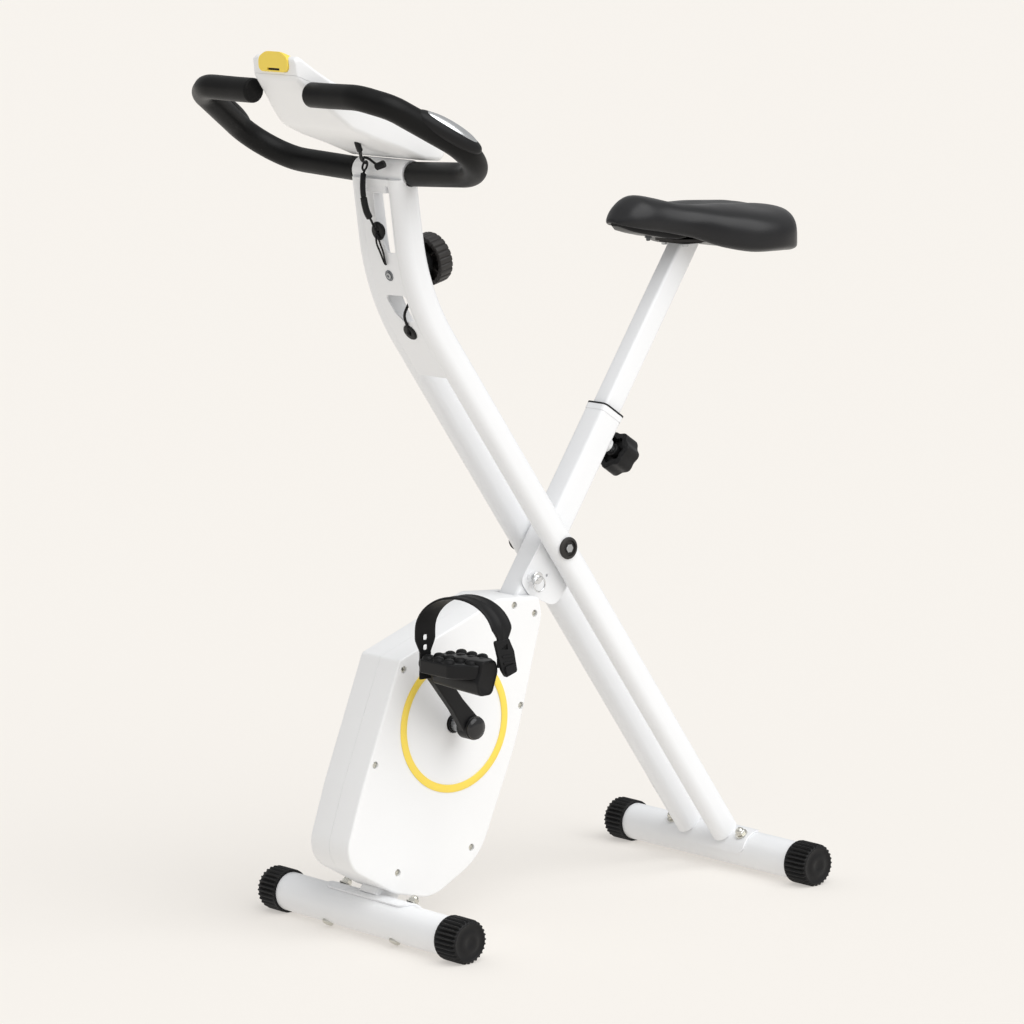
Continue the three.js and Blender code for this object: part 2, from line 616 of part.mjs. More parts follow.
// Foot strap: a band arched across the pedal, set askew with the ball of the foot.
function strap([y, z], side) {
  const SKEW = 23;
  const [inside, outside] = PEDAL_X;
  const path = [];
  const x0 = inside - 4.5;
  const x1 = outside + 7;
  const mid = (x0 + x1) / 2;
  path.push([x0, y - SKEW, z - 14], [x0, y - SKEW, z + 30]);
  for (let k = 0; k <= 10; k += 1) {
    const a = Math.PI * (1 - k / 10);
    const x = mid + (x1 - x0) / 2 * Math.cos(a);
    path.push([x, y - SKEW * Math.cos(Math.PI - a), z + 52 + 50 * Math.sin(a)]);
  }
  path.push([x1, y + SKEW, z + 30], [x1, y + SKEW, z - 14]);
  const outline = (thick) => {
    const line = path.map(([px, , pz]) => new THREE.Vector2(px, pz));
    return line.map((p, i) => {
      const before = line[Math.max(0, i - 1)];
      const after = line[Math.min(line.length - 1, i + 1)];
      const t = after.clone().sub(before).normalize();
      return p.clone().add(new THREE.Vector2(-t.y, t.x).multiplyScalar(thick));
    });
  };
  const outer = outline(1.3);
  const inner = outline(-1.3);
  const rings = path.map(([, py], i) => {
    const half = 13 + 5 * Math.sin(Math.PI * i / (path.length - 1));
    return [[inner[i].x, py - half, inner[i].y], [inner[i].x, py + half, inner[i].y],
      [outer[i].x, py + half, outer[i].y], [outer[i].x, py - half, outer[i].y]];
  });
  const band = loft(rings);
  return side > 0 ? band : mirror(band);
}
part('pedal_left', pedal(leftPedal, 1), black_plastic);
part('pedal_strap_left', strap(leftPedal, 1), black_rubber);
part('pedal_right', pedal(rightPedal, -1), black_plastic);
part('pedal_strap_right', strap(rightPedal, -1), black_rubber);

// ---------- flywheel and brake ----------
const flywheelAxle = join(
  rodX(PULLEY_X[0] - 2, 37, FLYWHEEL, 5, 10),
  rodX(PULLEY_X[0], PULLEY_X[1] + 4, FLYWHEEL, SMALL_PULLEY_R, 16),
);
part('flywheel_axle', flywheelAxle, steel);
part('flywheel', ringX(22.5, 36, FLYWHEEL, FLYWHEEL_R, 5.3 + GAP, 28), cast_iron);

// Magnet carrier: an arm over the flywheel's rim, hinged behind it.
const BRAKE_PIVOT = [48, 238];
function magnetBracket() {
  const arc = (r, from, to) => Array.from({ length: 6 }, (_, i) => {
    const a = rad(from + (to - from) * i / 5);
    return new THREE.Vector2(FLYWHEEL[0] + r * Math.cos(a), FLYWHEEL[1] + r * Math.sin(a));
  });
  const shoe = slab([...arc(FLYWHEEL_R + 9, 72, 116), ...arc(FLYWHEEL_R + 4, 116, 72)], 21.5, 37);
  const armOutline = rounded([[26, 225, 0], [52, 228, 5], [58, 238, 5], [50, 247, 5], [22, 232, 0]], 2);
  const arm = slab(armOutline, 27, 30);
  return cut(join(shoe, arm), rodX(20, 40, BRAKE_PIVOT, 3, 8));
}
part('magnet_bracket', magnetBracket(), magnet_grey);

// ---------- rear frame ----------
const TUBE_FROM = -Math.hypot(...REAR_AXIS.map((v, i) => v - PIVOT[i])) + SADDLE_R + 3 + GAP;

// Centre line of the side tubes in (y, z): straight, a bend, straight to under the sleeve.
function tubeLine() {
  const start = onLine(PIVOT, -TUBE_TILT, 0, TUBE_FROM);
  const bendStart = [PIVOT[0] - (TUBE_BEND_Z - PIVOT[1]) * Math.tan(rad(TUBE_TILT)), TUBE_BEND_Z];
  const points = [start, bendStart];
  const STEPS = 5;
  const sweepAngle = TUBE_TILT - TUBE_TOP_TILT;
  for (let k = 1; k <= STEPS; k += 1) {
    const a0 = rad(TUBE_TILT);
    const a = rad(TUBE_TILT - sweepAngle * k / STEPS);
    points.push([
      bendStart[0] + TUBE_BEND_R * (Math.cos(a0) - Math.cos(a)),
      bendStart[1] + TUBE_BEND_R * (Math.sin(a0) - Math.sin(a)),
    ]);
  }
  const [y, z] = points.at(-1);
  const top = SLEEVE[1] - 8;
  points.push([y - (top - z) * Math.tan(rad(TUBE_TOP_TILT)), top]);
  return points;
}
const TUBE_LINE = tubeLine();

// The unit normal of the tube line at each of its points, toward the rear.
const TUBE_NORMALS = TUBE_LINE.map((p, i) => {
  const before = TUBE_LINE[Math.max(0, i - 1)];
  const after = TUBE_LINE[Math.min(TUBE_LINE.length - 1, i + 1)];
  const t = new THREE.Vector2(after[0] - before[0], after[1] - before[1]).normalize();
  return new THREE.Vector2(t.y, -t.x);
});

// A flat-sided oval, depth by width, as points (across, x).
function oval(depth, width, steps = 5) {
  const r = width / 2;
  const straight = depth / 2 - r;
  const points = [];
  for (let k = 0; k <= steps; k += 1) {
    const a = Math.PI * k / steps;
    points.push([straight + r * Math.sin(a), r * Math.cos(a)]);
  }
  for (let k = 0; k <= steps; k += 1) {
    const a = Math.PI * k / steps;
    points.push([-straight - r * Math.sin(a), -r * Math.cos(a)]);
  }
  return points;
}

function sideTube(side, depth, width, extra) {
  const section = oval(depth, width);
  const line = TUBE_LINE.map((p, i) => {
    const along = i === 0 ? -extra : i === TUBE_LINE.length - 1 ? extra : 0;
    const n = TUBE_NORMALS[i];
    return [p[0] - n.y * along, p[1] + n.x * along, n];
  });
  const rings = line.map(([y, z, n]) => section.map(([across, x]) => [
    side * TUBE_X + x, y + n.x * across, z + n.y * across,
  ]));
  return loft(rings);
}

function rearTube(side) {
  const wall = 1.8;
  return cut(
    sideTube(side, TUBE_DEPTH, TUBE_WIDTH, 0),
    sideTube(side, TUBE_DEPTH - 2 * wall, TUBE_WIDTH - 2 * wall, 2),
    rodX(-60, 60, PIVOT, 6.2 + GAP, 12),
    rodX(-100, 100, SLEEVE, SLEEVE_R + 0.2 + GAP, 24),
  );
}
part('rear_tube_left', rearTube(1), white_paint);
part('rear_tube_right', rearTube(-1), white_paint);
part('rear_saddle', saddleBracket(REAR_AXIS, -TUBE_TILT), white_paint);

// Front web between the side tubes, fitted to their round fronts, with its two windows, joined to the
// handlebar sleeve.
function postWeb() {
  const front = -TUBE_DEPTH / 2 + 2;
  const first = TUBE_LINE.findIndex(([, z]) => z >= TUBE_BEND_Z);
  const line = TUBE_LINE.slice(first);
  const normals = TUBE_NORMALS.slice(first);
  const edge = (across) => line.map(([y, z], i) =>
    new THREE.Vector2(y + normals[i].x * across, z + normals[i].y * across));
  const WEB_HALF = 32;
  const strip = cut(
    slab([...edge(front), ...edge(front + 3).reverse()].reverse(), -WEB_HALF, WEB_HALF),
    sideTube(1, TUBE_DEPTH + 2 * GAP, TUBE_WIDTH + 2 * GAP, 2),
    sideTube(-1, TUBE_DEPTH + 2 * GAP, TUBE_WIDTH + 2 * GAP, 2),
  );
  const sleeve = rodX(-SLEEVE_HALF, SLEEVE_HALF, SLEEVE, SLEEVE_R, 24);
  const link = box(-INNER_X, INNER_X, SLEEVE[0] - 22, SLEEVE[0] + 10, SLEEVE[1] - 22, SLEEVE[1] - 10);
  return cut(
    join(strip, sleeve, link),
    box(-8, INNER_X + 3, -50, 26, 998, 1040),
    box(10, INNER_X + 3, -50, 40, 965, 999),
    box(-20, 20, -50, 70, 862, 893),
    rod([-3, -20, 981], [-3, 45, 981], 9, 12),
    rod([2, 20, 843], [2, 90, 838], 9, 12),
    rodX(-60, 60, SLEEVE, BAR_R + 1.4, 16),
  );
}
part('post_web', postWeb(), white_paint);

// ---------- pivot ----------
const PIVOT_HEAD_X = TUBE_X + TUBE_WIDTH / 2 + GAP;
const headProfile = [[0, 0], [16, 0], [16, 2.5], [13, 4], [11.5, 1.8], [6, 1.8], [5.5, 4.5], [0, 4.5]];
const pivotHead = new THREE.LatheGeometry(headProfile.map(([r, h]) => new THREE.Vector2(r, h)), 16)
  .rotateZ(-Math.PI / 2).translate(PIVOT_HEAD_X, ...PIVOT);
part('pivot_bolt', join(pivotHead, rodX(-PIVOT_HEAD_X + 1, PIVOT_HEAD_X + 1, PIVOT, 6, 10)), black_plastic);
const pivotThread = rodX(-PIVOT_HEAD_X - 1.3, -PIVOT_HEAD_X + 2, PIVOT, 6.2 + GAP, 10);
part('pivot_nut', cut(mirror(pivotHead), pivotThread), black_plastic);

// ---------- fold lock ----------
const PLATE_X = [LEG_WIDTH / 2 + GAP, INNER_X];
const lockOutline = rounded([
  [PIVOT[0] - 20, PIVOT[1] + 12, 14], [LOCK_PIN[0] - 20, LOCK_PIN[1] - 4, 14],
  [LOCK_PIN[0] - 4, LOCK_PIN[1] - 26, 14],
  [PIVOT[0] + 2, PIVOT[1] - 88, 16], [PIVOT[0] + 26, PIVOT[1] - 64, 12], [PIVOT[0] + 20, PIVOT[1] + 12, 14],
], 3);
const PIN_TRAVEL = 6;
const lockPlate = cut(
  join(slab(lockOutline, ...PLATE_X), rodX(PLATE_X[1] - 1, PLATE_X[1] + PIN_TRAVEL, LOCK_PIN, 8, 12)),
  rodX(10, 60, PIVOT, 6.2 + GAP, 12),
  rodX(10, 60, LOCK_PIN, LOCK_PIN_R + 0.2 + GAP, 10),
  rodX(10, 60, [PIVOT[0] - 13, PIVOT[1] - 42], 2.5, 8),
);
part('lock_plate', lockPlate, white_paint);

const discFrom = PLATE_X[1] + 2 * PIN_TRAVEL + GAP;
const pullRing = new THREE.TorusGeometry(10.5, 1.3, 5, 14).rotateY(Math.PI / 2)
  .translate(discFrom + 4, LOCK_PIN[0] + 1, LOCK_PIN[1] - 9);
part('lock_pin', join(
  rodX(PLATE_X[0], discFrom + 6, LOCK_PIN, LOCK_PIN_R, 10),
  rodX(discFrom, discFrom + 3, LOCK_PIN, 9, 14),
  pullRing,
), steel);

// ---------- handlebar ----------
// Half of the loop as (x, reach), reach measured in the loop's plane from the sleeve, forward and up.
const LOOP_REACH = 213.5;
const LOOP_BOW = 4;               // how far the loop's sides bow up out of that plane
const LOOP = rounded([
  [0, 0], [60, 0], [257.3, 17.2, 71], [200.7, 190.4, 36],
  [161.7, 215.8, 46], [100, LOOP_REACH], [64, LOOP_REACH],
], 5).map((p) => [p.x, p.y]);

function onLoop([x, reach]) {
  const t = reach / LOOP_REACH;
  const above = LOOP_BOW * (4 * t * (1 - t) - 1.3 * t * t);
  return [
    x,
    SLEEVE[0] - reach * Math.cos(rad(LOOP_TILT)) + above * Math.sin(rad(LOOP_TILT)),
    SLEEVE[1] + reach * Math.sin(rad(LOOP_TILT)) + above * Math.cos(rad(LOOP_TILT)),
  ];
}
const rightHalf = LOOP.map(([x, reach]) => [-x, reach]).reverse();
const wholeLoop = [...rightHalf.slice(0, -1), ...LOOP.slice(1)].map(onLoop);

const BAR_STEPS = 50;
part('handlebar', sweep(wholeLoop, circle(BAR_R, 8), BAR_STEPS), steel);

// Foam grip: from beside the sleeve, round the loop's side, to just over the bar's end.
function grip(side) {
  const foamPath = [[SLEEVE_HALF + 1, 0], ...LOOP.slice(1, -1), [60, LOOP_REACH]];
  const foam = sweep(foamPath.map(onLoop), circle(FOAM_R, 10), 24);
  const bore = sweep(wholeLoop, circle(BAR_R + GAP, 8), BAR_STEPS);
  return side > 0 ? cut(foam, bore) : mirror(cut(foam, bore));
}
part('grip_left', grip(1), black_foam);
part('grip_right', grip(-1), black_foam);

// Pulse sensor: a flattened pod on the upper outer side of the grip.
function pulseSensor(side) {
  const from = new THREE.Vector3(...onLoop([243, 64]));
  const to = new THREE.Vector3(...onLoop([213, 157]));
  const along = to.clone().sub(from).normalize();
  const outward = new THREE.Vector3(0.45, 0, 0.9);
  const across = new THREE.Vector3().crossVectors(outward, along).normalize();
  const normal = new THREE.Vector3().crossVectors(along, across).normalize();
  const centre = from.lerp(to, 0.5).addScaledVector(normal, 10);
  const m = new THREE.Matrix4().makeBasis(along, across, normal).setPosition(centre);
  const pod = new THREE.SphereGeometry(1, 12, 8).scale(52, 18, 14).applyMatrix4(m);
  const core = sweep(LOOP.slice(1, -1).map(onLoop), circle(FOAM_R + 1, 10), 24);
  return side > 0 ? cut(pod, core) : mirror(cut(pod, core));
}
part('pulse_sensor_left', pulseSensor(1), chrome);
part('pulse_sensor_right', pulseSensor(-1), chrome);

// ---------- console ----------
const CONSOLE_WALL = 2.5;
const consoleSide = rounded([
  [-156, 1229, 7], [-152, 1197, 8], [-135, 1181, 40], [-105, 1157, 60], [-80, 1133, 40], [-48, 1115, 60],
  [-4, 1100, 60], [40, 1083, 10], [78, 1080, 8], [73, 1109, 10], [-108, 1196, 60],
], 2);
const consolePlan = rounded([
  [-46, -158, 14], [46, -158, 14], [56, -128, 40], [76, -100, 30], [81, -60, 80], [80, 79, 14],
  [-80, 79, 14], [-81, -60, 80], [-76, -100, 30], [-56, -128, 40],
], 2);
const consoleBody = (wall) => common(
  slab(wall ? inset(consoleSide, wall) : consoleSide, -120, 120),
  plate(wall ? inset(consolePlan, wall) : consolePlan, 1000, 1300),
);

// A frame on the display face: local (x, down the face toward the rider, out of the face).
const DISPLAY_TILT = 25.7;
const displayFrame = alongLine([-18, 1152.7], DISPLAY_TILT);
const SEAM = -13;                 // seam between the two shells, below the display face
const LENS = [104, 70, 1.4];      // display lens, across, down the face, and thick
const BUTTON_R = 12;

// Domed block let into the console's tip, or the room for it.
function insertBlock(grow) {
  const [half, low, high] = [31 + grow, 1207 - grow, 1234 + grow];
  const outline = rounded([
    [-half, low, 3], [half, low, 3], [half, high - 9, 8],
    [half - 14, high, 20], [14 - half, high, 20], [-half, high - 9, 8],
  ], 2);
  const depth = 17 + 2 * grow;
  return new THREE.ExtrudeGeometry(new THREE.Shape(outline), { depth, steps: 1, bevelEnabled: false })
    .rotateX(Math.PI / 2).translate(0, -140 + grow, 0);
}

const consoleOuter = consoleBody(0);
const consoleShell = cut(
  consoleOuter,
  consoleBody(CONSOLE_WALL),
  rodX(-TUBE_X - TUBE_WIDTH / 2 - 2, TUBE_X + TUBE_WIDTH / 2 + 2, SLEEVE, SLEEVE_R + GAP, 32),
  rodX(-120, 120, SLEEVE, FOAM_R + 1.5, 16),
  insertBlock(GAP),
);
const aboveSeam = () => displayFrame(box(-200, 200, -300, 300, SEAM + GAP, 100));
const belowSeam = () => displayFrame(box(-200, 200, -300, 300, -300, SEAM));

// A block over the lens's outline, grown all round, between two heights above the display face.
function lensBlock(grow, from, to) {
  const across = LENS[0] / 2 + grow;
  const down = LENS[1] / 2 + grow;
  return displayFrame(box(-across, across, -down, down, from, to));
}
const lensPocket = lensBlock(GAP, -LENS[2] - 0.2, 20);
const buttonAt = (height) => [0, LENS[1] / 2 + 30, height];
const buttonHole = displayFrame(rod(buttonAt(-8), buttonAt(10), BUTTON_R + GAP, 20));
part('console_front', cut(common(consoleShell, aboveSeam()), lensPocket, buttonHole), white_plastic);
part('console_back', common(consoleShell, belowSeam()), white_plastic);
part('console_insert', insertBlock(0), yellow_plastic);
part('console_lens', lensBlock(0, -LENS[2], 0), lens_black);
part('console_button', displayFrame(rod(buttonAt(-6), buttonAt(2.2), BUTTON_R, 20)), yellow_plastic);

// ---------- tension control ----------
const KNOB_TILT = 14;             // degrees the knob's axis rises toward the rear
const KNOB_BASE = [104, 936.6];   // base centre (y, z)
const KNOB_R = 36;
const KNOB_HEIGHT = 24;
const onKnob = (h) => [
  0,
  KNOB_BASE[0] + h * Math.cos(rad(KNOB_TILT)),
  KNOB_BASE[1] + h * Math.sin(rad(KNOB_TILT)),
];
const tensionHousing = join(
  rod(onKnob(-58), onKnob(-GAP), 20, 16),
  rod(onKnob(-2), onKnob(14), 5, 12),
);
part('tension_housing', tensionHousing, black_plastic);
const tensionKnob = cut(
  lobedKnob(onKnob(0), onKnob(KNOB_HEIGHT), KNOB_R, 10, 2.5),
  cut(rod(onKnob(-1), onKnob(12), KNOB_R - 5, 16), rod(onKnob(-2), onKnob(13), 10, 10)),
  rod(onKnob(-1), onKnob(14 + GAP), 5 + GAP, 12),
);
part('tension_knob', tensionKnob, black_plastic);

// ---------- leads ----------
const CONSOLE_LEAD = [
  [-20, -4, 1094], [-12, -5, 1090], [-5, -5, 1082], [-6, -3, 1066], [-1, -1, 1042],
  [1, 6, 1018], [-2, 12, 998], [-3, 18, 984], [-3, 28, 979],
];
part('console_lead', sweep(CONSOLE_LEAD, circle(3, 6), 16), black_rubber);
const LOWER_LEAD = [[-4, 66, 880], [-6, 52, 876], [-4, 42, 866], [0, 42, 852], [2, 50, 843], [2, 62, 840]];
part('lower_lead', sweep(LOWER_LEAD, circle(1.8, 6), 10), black_rubber);

bike.position.y = -FOOTPRINT_CENTRE;
export default bike;
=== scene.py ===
"""Folding exercise bike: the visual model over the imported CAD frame.

Points are written in millimetres in the drawing frame, which has y = 0 at the front stabiliser's
axis; at() turns them into the row frame, in metres. +Z is up, -Y the front, +X the rider's left.
"""
from math import acos, atan2, copysign, cos, exp, hypot, pi, radians, sin, sqrt, tan

import bmesh
import bpy
from mathutils import Matrix, Vector


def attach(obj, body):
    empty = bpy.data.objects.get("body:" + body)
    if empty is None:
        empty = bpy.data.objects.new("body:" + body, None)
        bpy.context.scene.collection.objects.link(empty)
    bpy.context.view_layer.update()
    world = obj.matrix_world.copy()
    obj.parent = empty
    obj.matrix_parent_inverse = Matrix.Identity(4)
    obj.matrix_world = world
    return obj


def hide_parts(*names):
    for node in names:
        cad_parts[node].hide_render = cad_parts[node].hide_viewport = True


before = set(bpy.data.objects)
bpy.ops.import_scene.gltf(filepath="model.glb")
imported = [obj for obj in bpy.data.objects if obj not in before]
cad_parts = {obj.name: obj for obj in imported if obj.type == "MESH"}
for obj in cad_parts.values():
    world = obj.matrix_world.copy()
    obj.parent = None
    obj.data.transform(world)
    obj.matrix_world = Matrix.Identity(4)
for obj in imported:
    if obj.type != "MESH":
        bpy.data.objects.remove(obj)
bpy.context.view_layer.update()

# ---------- dimensions shared with the CAD, in millimetres; pairs are (y, z) ----------
CENTRE = 304.575  # y of the row frame's origin
WHEELBASE = 669
AXIS_Z = 30.7  # height of the stabilisers' axes
FOOT_R = 31.5
TUBE_R = 27.5
HALF = 215  # half a stabiliser's length, over its caps
STABILISER_BOLT_X = 73
PIVOT = (324, 518)
RISE = PIVOT[1] - AXIS_Z
LEG_TILT = atan2(PIVOT[0], RISE)
LEG_LENGTH = hypot(PIVOT[0], RISE)
REAR_TILT = atan2(WHEELBASE - PIVOT[0], RISE)
REAR_LENGTH = hypot(WHEELBASE - PIVOT[0], RISE)
LEG_TOP = 217  # along the seat leg from the pivot, as is SEAT_PIN
SEAT_PIN = 176
PIN_STEP = 25
SLEEVE = (39, 1063.5)
FOAM_R = 16.9
CRANK = (121, 291.5)
CRANK_LENGTH = 127
CRANK_TILT = radians(37.6)
SHROUD_HALF = 42
X = Vector((1, 0, 0))
Y = Vector((0, 1, 0))
Z = Vector((0, 0, 1))


def at(p):
    """A point in the row frame, in metres."""
    return Vector((p[0], p[1] - CENTRE, p[2])) / 1000


# ---------- camera ----------
def make_camera():
    place = (4.6883, -4.1592, 1.5625)
    azimuth, elevation, roll = (radians(v) for v in (48.69, 9.04, -0.07))
    back = Vector((sin(azimuth) * cos(elevation), -cos(azimuth) * cos(elevation), sin(elevation)))
    right = Vector((cos(azimuth), sin(azimuth), 0))
    facing = Matrix((right, back.cross(right), back)).transposed() @ Matrix.Rotation(roll, 3, "Z")
    data = bpy.data.cameras.new("camera")
    data.sensor_width = 36
    data.lens = 157.18
    data.clip_end = 300
    camera = bpy.data.objects.new("camera", data)
    camera.matrix_world = Matrix.Translation(place) @ facing.to_4x4()
    bpy.context.scene.collection.objects.link(camera)
    bpy.context.scene.camera = camera


make_camera()


# ---------- materials ----------
def fill(node, sockets):
    for key, value in sockets.items():
        node.inputs[key].default_value = value


class Look:
    """A procedural material and the record slot that it stands for.

    The roughness varies by SPREAD and the colour by mottle; grain is the fine texture's scale and
    relief its depth in millimetres.
    """
    SPREAD = 0.06

    def __init__(self, name, slot, colour, rough, metal=0.0, grain=1500, relief=0.02, mottle=0.05,
                 coat=0.0, cells=False, stretch=(1, 1, 1), specular=0.5):
        self.slot = slot
        self.material = bpy.data.materials.new(name)
        self.material.use_nodes = True
        tree = self.material.node_tree
        shader = tree.nodes["Principled BSDF"]
        fill(shader, {"Metallic": metal, "Coat Weight": coat, "Coat Roughness": 0.2,
                      "Specular IOR Level": specular})

        def node(kind, **sockets):
            made = tree.nodes.new(kind)
            fill(made, sockets)
            return made

        def wire(source, target):
            tree.links.new(source, target)

        coords = node("ShaderNodeTexCoord").outputs["Object"]
        patches = node("ShaderNodeTexNoise", Scale=16, Detail=3)
        wire(coords, patches.inputs["Vector"])
        scaled = node("ShaderNodeMapping", Scale=stretch)
        wire(coords, scaled.inputs["Vector"])
        fine = node("ShaderNodeTexVoronoi" if cells else "ShaderNodeTexNoise", Scale=grain)
        wire(scaled.outputs["Vector"], fine.inputs["Vector"])
        height = fine.outputs["Distance" if cells else "Fac"]

        tint = node("ShaderNodeMix")
        tint.data_type = "RGBA"
        # a colour mix takes its two colours on sockets 6 and 7
        fill(tint, {6: [c * (1 - mottle) for c in colour] + [1],
                    7: [min(1, c * (1 + mottle)) for c in colour] + [1]})
        blend = node("ShaderNodeMath")
        blend.operation = "MULTIPLY_ADD"
        wire(height, blend.inputs[0])
        blend.inputs[1].default_value = 0.45
        wire(patches.outputs["Fac"], blend.inputs[2])
        wire(blend.outputs[0], tint.inputs[0])
        wire(tint.outputs[2], shader.inputs["Base Color"])

        gloss = node("ShaderNodeMapRange")
        fill(gloss, {"From Min": 0.3, "From Max": 0.7,
                     "To Min": max(0.02, rough - self.SPREAD), "To Max": min(1, rough + self.SPREAD)})
        wire(patches.outputs["Fac"], gloss.inputs["Value"])
        wire(gloss.outputs["Result"], shader.inputs["Roughness"])

        bump = node("ShaderNodeBump", Strength=0.5, Distance=relief / 1000)
        wire(height, bump.inputs["Height"])
        wire(bump.outputs["Normal"], shader.inputs["Normal"])


WHITE = Look("white_powder_coat", "white_paint", (0.86, 0.87, 0.885), 0.34, grain=700, relief=0.03,
             mottle=0.012, coat=0.25)
SHELL = Look("white_moulding", "white_plastic", (0.87, 0.875, 0.88), 0.42, grain=1800, mottle=0.012)
BLACK = Look("black_moulding", "black_plastic", (0.009, 0.009, 0.0095), 0.4, grain=1600, relief=0.05,
             mottle=0.2, specular=0.2)
DARK = Look("dark_moulding", "black_plastic", (0.022, 0.02, 0.019), 0.48, grain=1300, relief=0.05,
            mottle=0.2, specular=0.35)
GLOSSY = Look("black_gloss_cap", "black_plastic", (0.012, 0.012, 0.013), 0.18, relief=0.01, mottle=0.2)
FOAM = Look("black_foam", "black_foam", (0.004, 0.004, 0.004), 0.42, grain=900, relief=0.12, mottle=0.3,
            cells=True, specular=0.17)
VINYL = Look("black_vinyl", "black_vinyl", (0.008, 0.008, 0.009), 0.33, grain=650, relief=0.12,
             mottle=0.25, cells=True, specular=0.36)
RUBBER = Look("black_rubber", "black_rubber", (0.008, 0.008, 0.0085), 0.5, grain=1200, relief=0.05,
              mottle=0.25, specular=0.2)
YELLOW = Look("yellow_moulding", "yellow_plastic", (0.93, 0.7, 0.1), 0.38, mottle=0.04)
STEEL = Look("turned_steel", "steel", (0.42, 0.43, 0.44), 0.32, metal=1, grain=500, mottle=0.12,
             stretch=(8, 1, 1))
ZINC = Look("zinc_plate", "zinc", (0.62, 0.61, 0.56), 0.28, metal=1, grain=900, mottle=0.12)
SILVER = Look("polished_plate", "chrome", (0.72, 0.73, 0.74), 0.22, metal=1, grain=600, relief=0.01)
IRON = Look("cast_iron", "cast_iron", (0.09, 0.095, 0.1), 0.42, metal=0.8, grain=500, relief=0.05,
            mottle=0.2)
MAGNET = Look("bare_steel", "magnet_grey", (0.2, 0.21, 0.22), 0.4, metal=0.9, mottle=0.15)
LENS = Look("display_window", "lens_black", (0.006, 0.006, 0.008), 0.08, relief=0.002, mottle=0.1)
PANEL = Look("display_panel", "lens_black", (0.16, 0.18, 0.15), 0.25, relief=0.005, mottle=0.04)

# CAD nodes that stay as they are, with a better finish.
KEPT = {
    "lock_plate": WHITE, "saddle_base": DARK, "seat_pin": STEEL, "crank_bearing_left": STEEL,
    "crank_bearing_right": STEEL, "crank_axle": STEEL, "crank_pulley": BLACK, "drive_belt": RUBBER,
    "flywheel_axle": STEEL, "flywheel": IRON, "magnet_bracket": MAGNET, "tension_housing": BLACK,
    "handlebar": STEEL,
}
for name, look in KEPT.items():
    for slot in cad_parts[name].material_slots:
        slot.link = "OBJECT"
        slot.material = look.material


# ---------- forms: (points, faces) in millimetres ----------
def clamped(value):
    return min(1, max(0, value))


def sweep(start, turn, steps):
    """Angles from start through a turn, with both ends."""
    return [start + turn * k / steps for k in range(steps + 1)]


def circle(sides):
    return sweep(0, 2 * pi, sides)[:-1]


QUARTER = sweep(0, pi / 2, 6)


def loft(rings, closed=False):
    """Skin over rings of equal count, with flat ends, or closed into a ring."""
    sides, count = len(rings[0]), len(rings)
    points = [p for ring in rings for p in ring]
    faces = []
    for i in range(count if closed else count - 1):
        a, b = i * sides, (i + 1) % count * sides
        for j in range(sides):
            k = (j + 1) % sides
            faces.append((a + j, a + k, b + k, b + j))
    if not closed:
        faces.append(tuple(range(sides)))
        faces.append(tuple(range((count - 1) * sides, count * sides)))
    return points, faces


def together(*forms):
    """Several forms as one."""
    points, faces = [], []
    for more, polygons in forms:
        start = len(points)
        points += more
        faces += [tuple(i + start for i in face) for face in polygons]
    return points, faces


def square_to(axis):
    """Two directions square to an axis."""
    axis = Vector(axis).normalized()
    first = axis.cross(X if abs(axis.x) < 0.9 else Z).normalized()
    return first, axis.cross(first)


def heading(path, i):
    """Direction of a path at its point i."""
    return (path[min(i + 1, len(path) - 1)] - path[max(i - 1, 0)]).normalized()


def turned(profile, origin, axis, sides=48, wave=None):
    """Body of revolution from a profile of (distance along the axis, radius).

    wave(angle, distance) is added to the radius.
    """
    axis = Vector(axis).normalized()
    u, w = square_to(axis)
    rings = []
    for along, radius in profile:
        ring = []
        for a in circle(sides):
            r = max(radius, 0.01) + (wave(a, along) if wave else 0)
            ring.append(Vector(origin) + axis * along + (u * cos(a) + w * sin(a)) * r)
        rings.append(ring)
    return loft(rings)


def pipe(profile, origin, axis, sides=48):
    """As turned(), but the profile closes on itself round a hole."""
    points = turned(profile, origin, axis, sides)[0]
    return loft([points[i * sides:(i + 1) * sides] for i in range(len(profile))], closed=True)


def swept(path, radius, sides=24, ends=0.0):
    """Round bar along points. ends rounds its two ends over that distance."""
    path = [Vector(p) for p in path]
    steps = [0.0]
    for a, b in zip(path, path[1:]):
        steps.append(steps[-1] + (b - a).length)
    rings = []
    side = None
    for i, p in enumerate(path):
        along = heading(path, i)
        if side is None:
            side = square_to(along)[0]
        side = (side - along * side.dot(along)).normalized()
        other = along.cross(side)
        r = radius
        if ends:
            near = min(steps[i], steps[-1] - steps[i])
            if near < ends:
                r = radius - ends + sqrt(max(0, ends * ends - (ends - near) ** 2))
        rings.append([p + (side * cos(a) + other * sin(a)) * r for a in circle(sides)])
    return loft(rings)


def resampled(path, step, finer_end=0.0):
    """The same path with points a step apart, and close together near its ends."""
    path = [Vector(p) for p in path]
    lengths = [(b - a).length for a, b in zip(path, path[1:])]
    total = sum(lengths)
    count = max(2, round(total / step))
    stops = [total * i / count for i in range(count + 1)]
    if finer_end:
        near = [finer_end * (1 - cos(a)) for a in QUARTER]
        middle = [s for s in stops if finer_end < s < total - finer_end]
        stops = near + middle + [total - s for s in reversed(near)]
    made = []
    for s in stops:
        i = 0
        while i < len(lengths) - 1 and s > lengths[i]:
            s -= lengths[i]
            i += 1
        made.append(path[i].lerp(path[i + 1], min(1, s / lengths[i])))
    return made


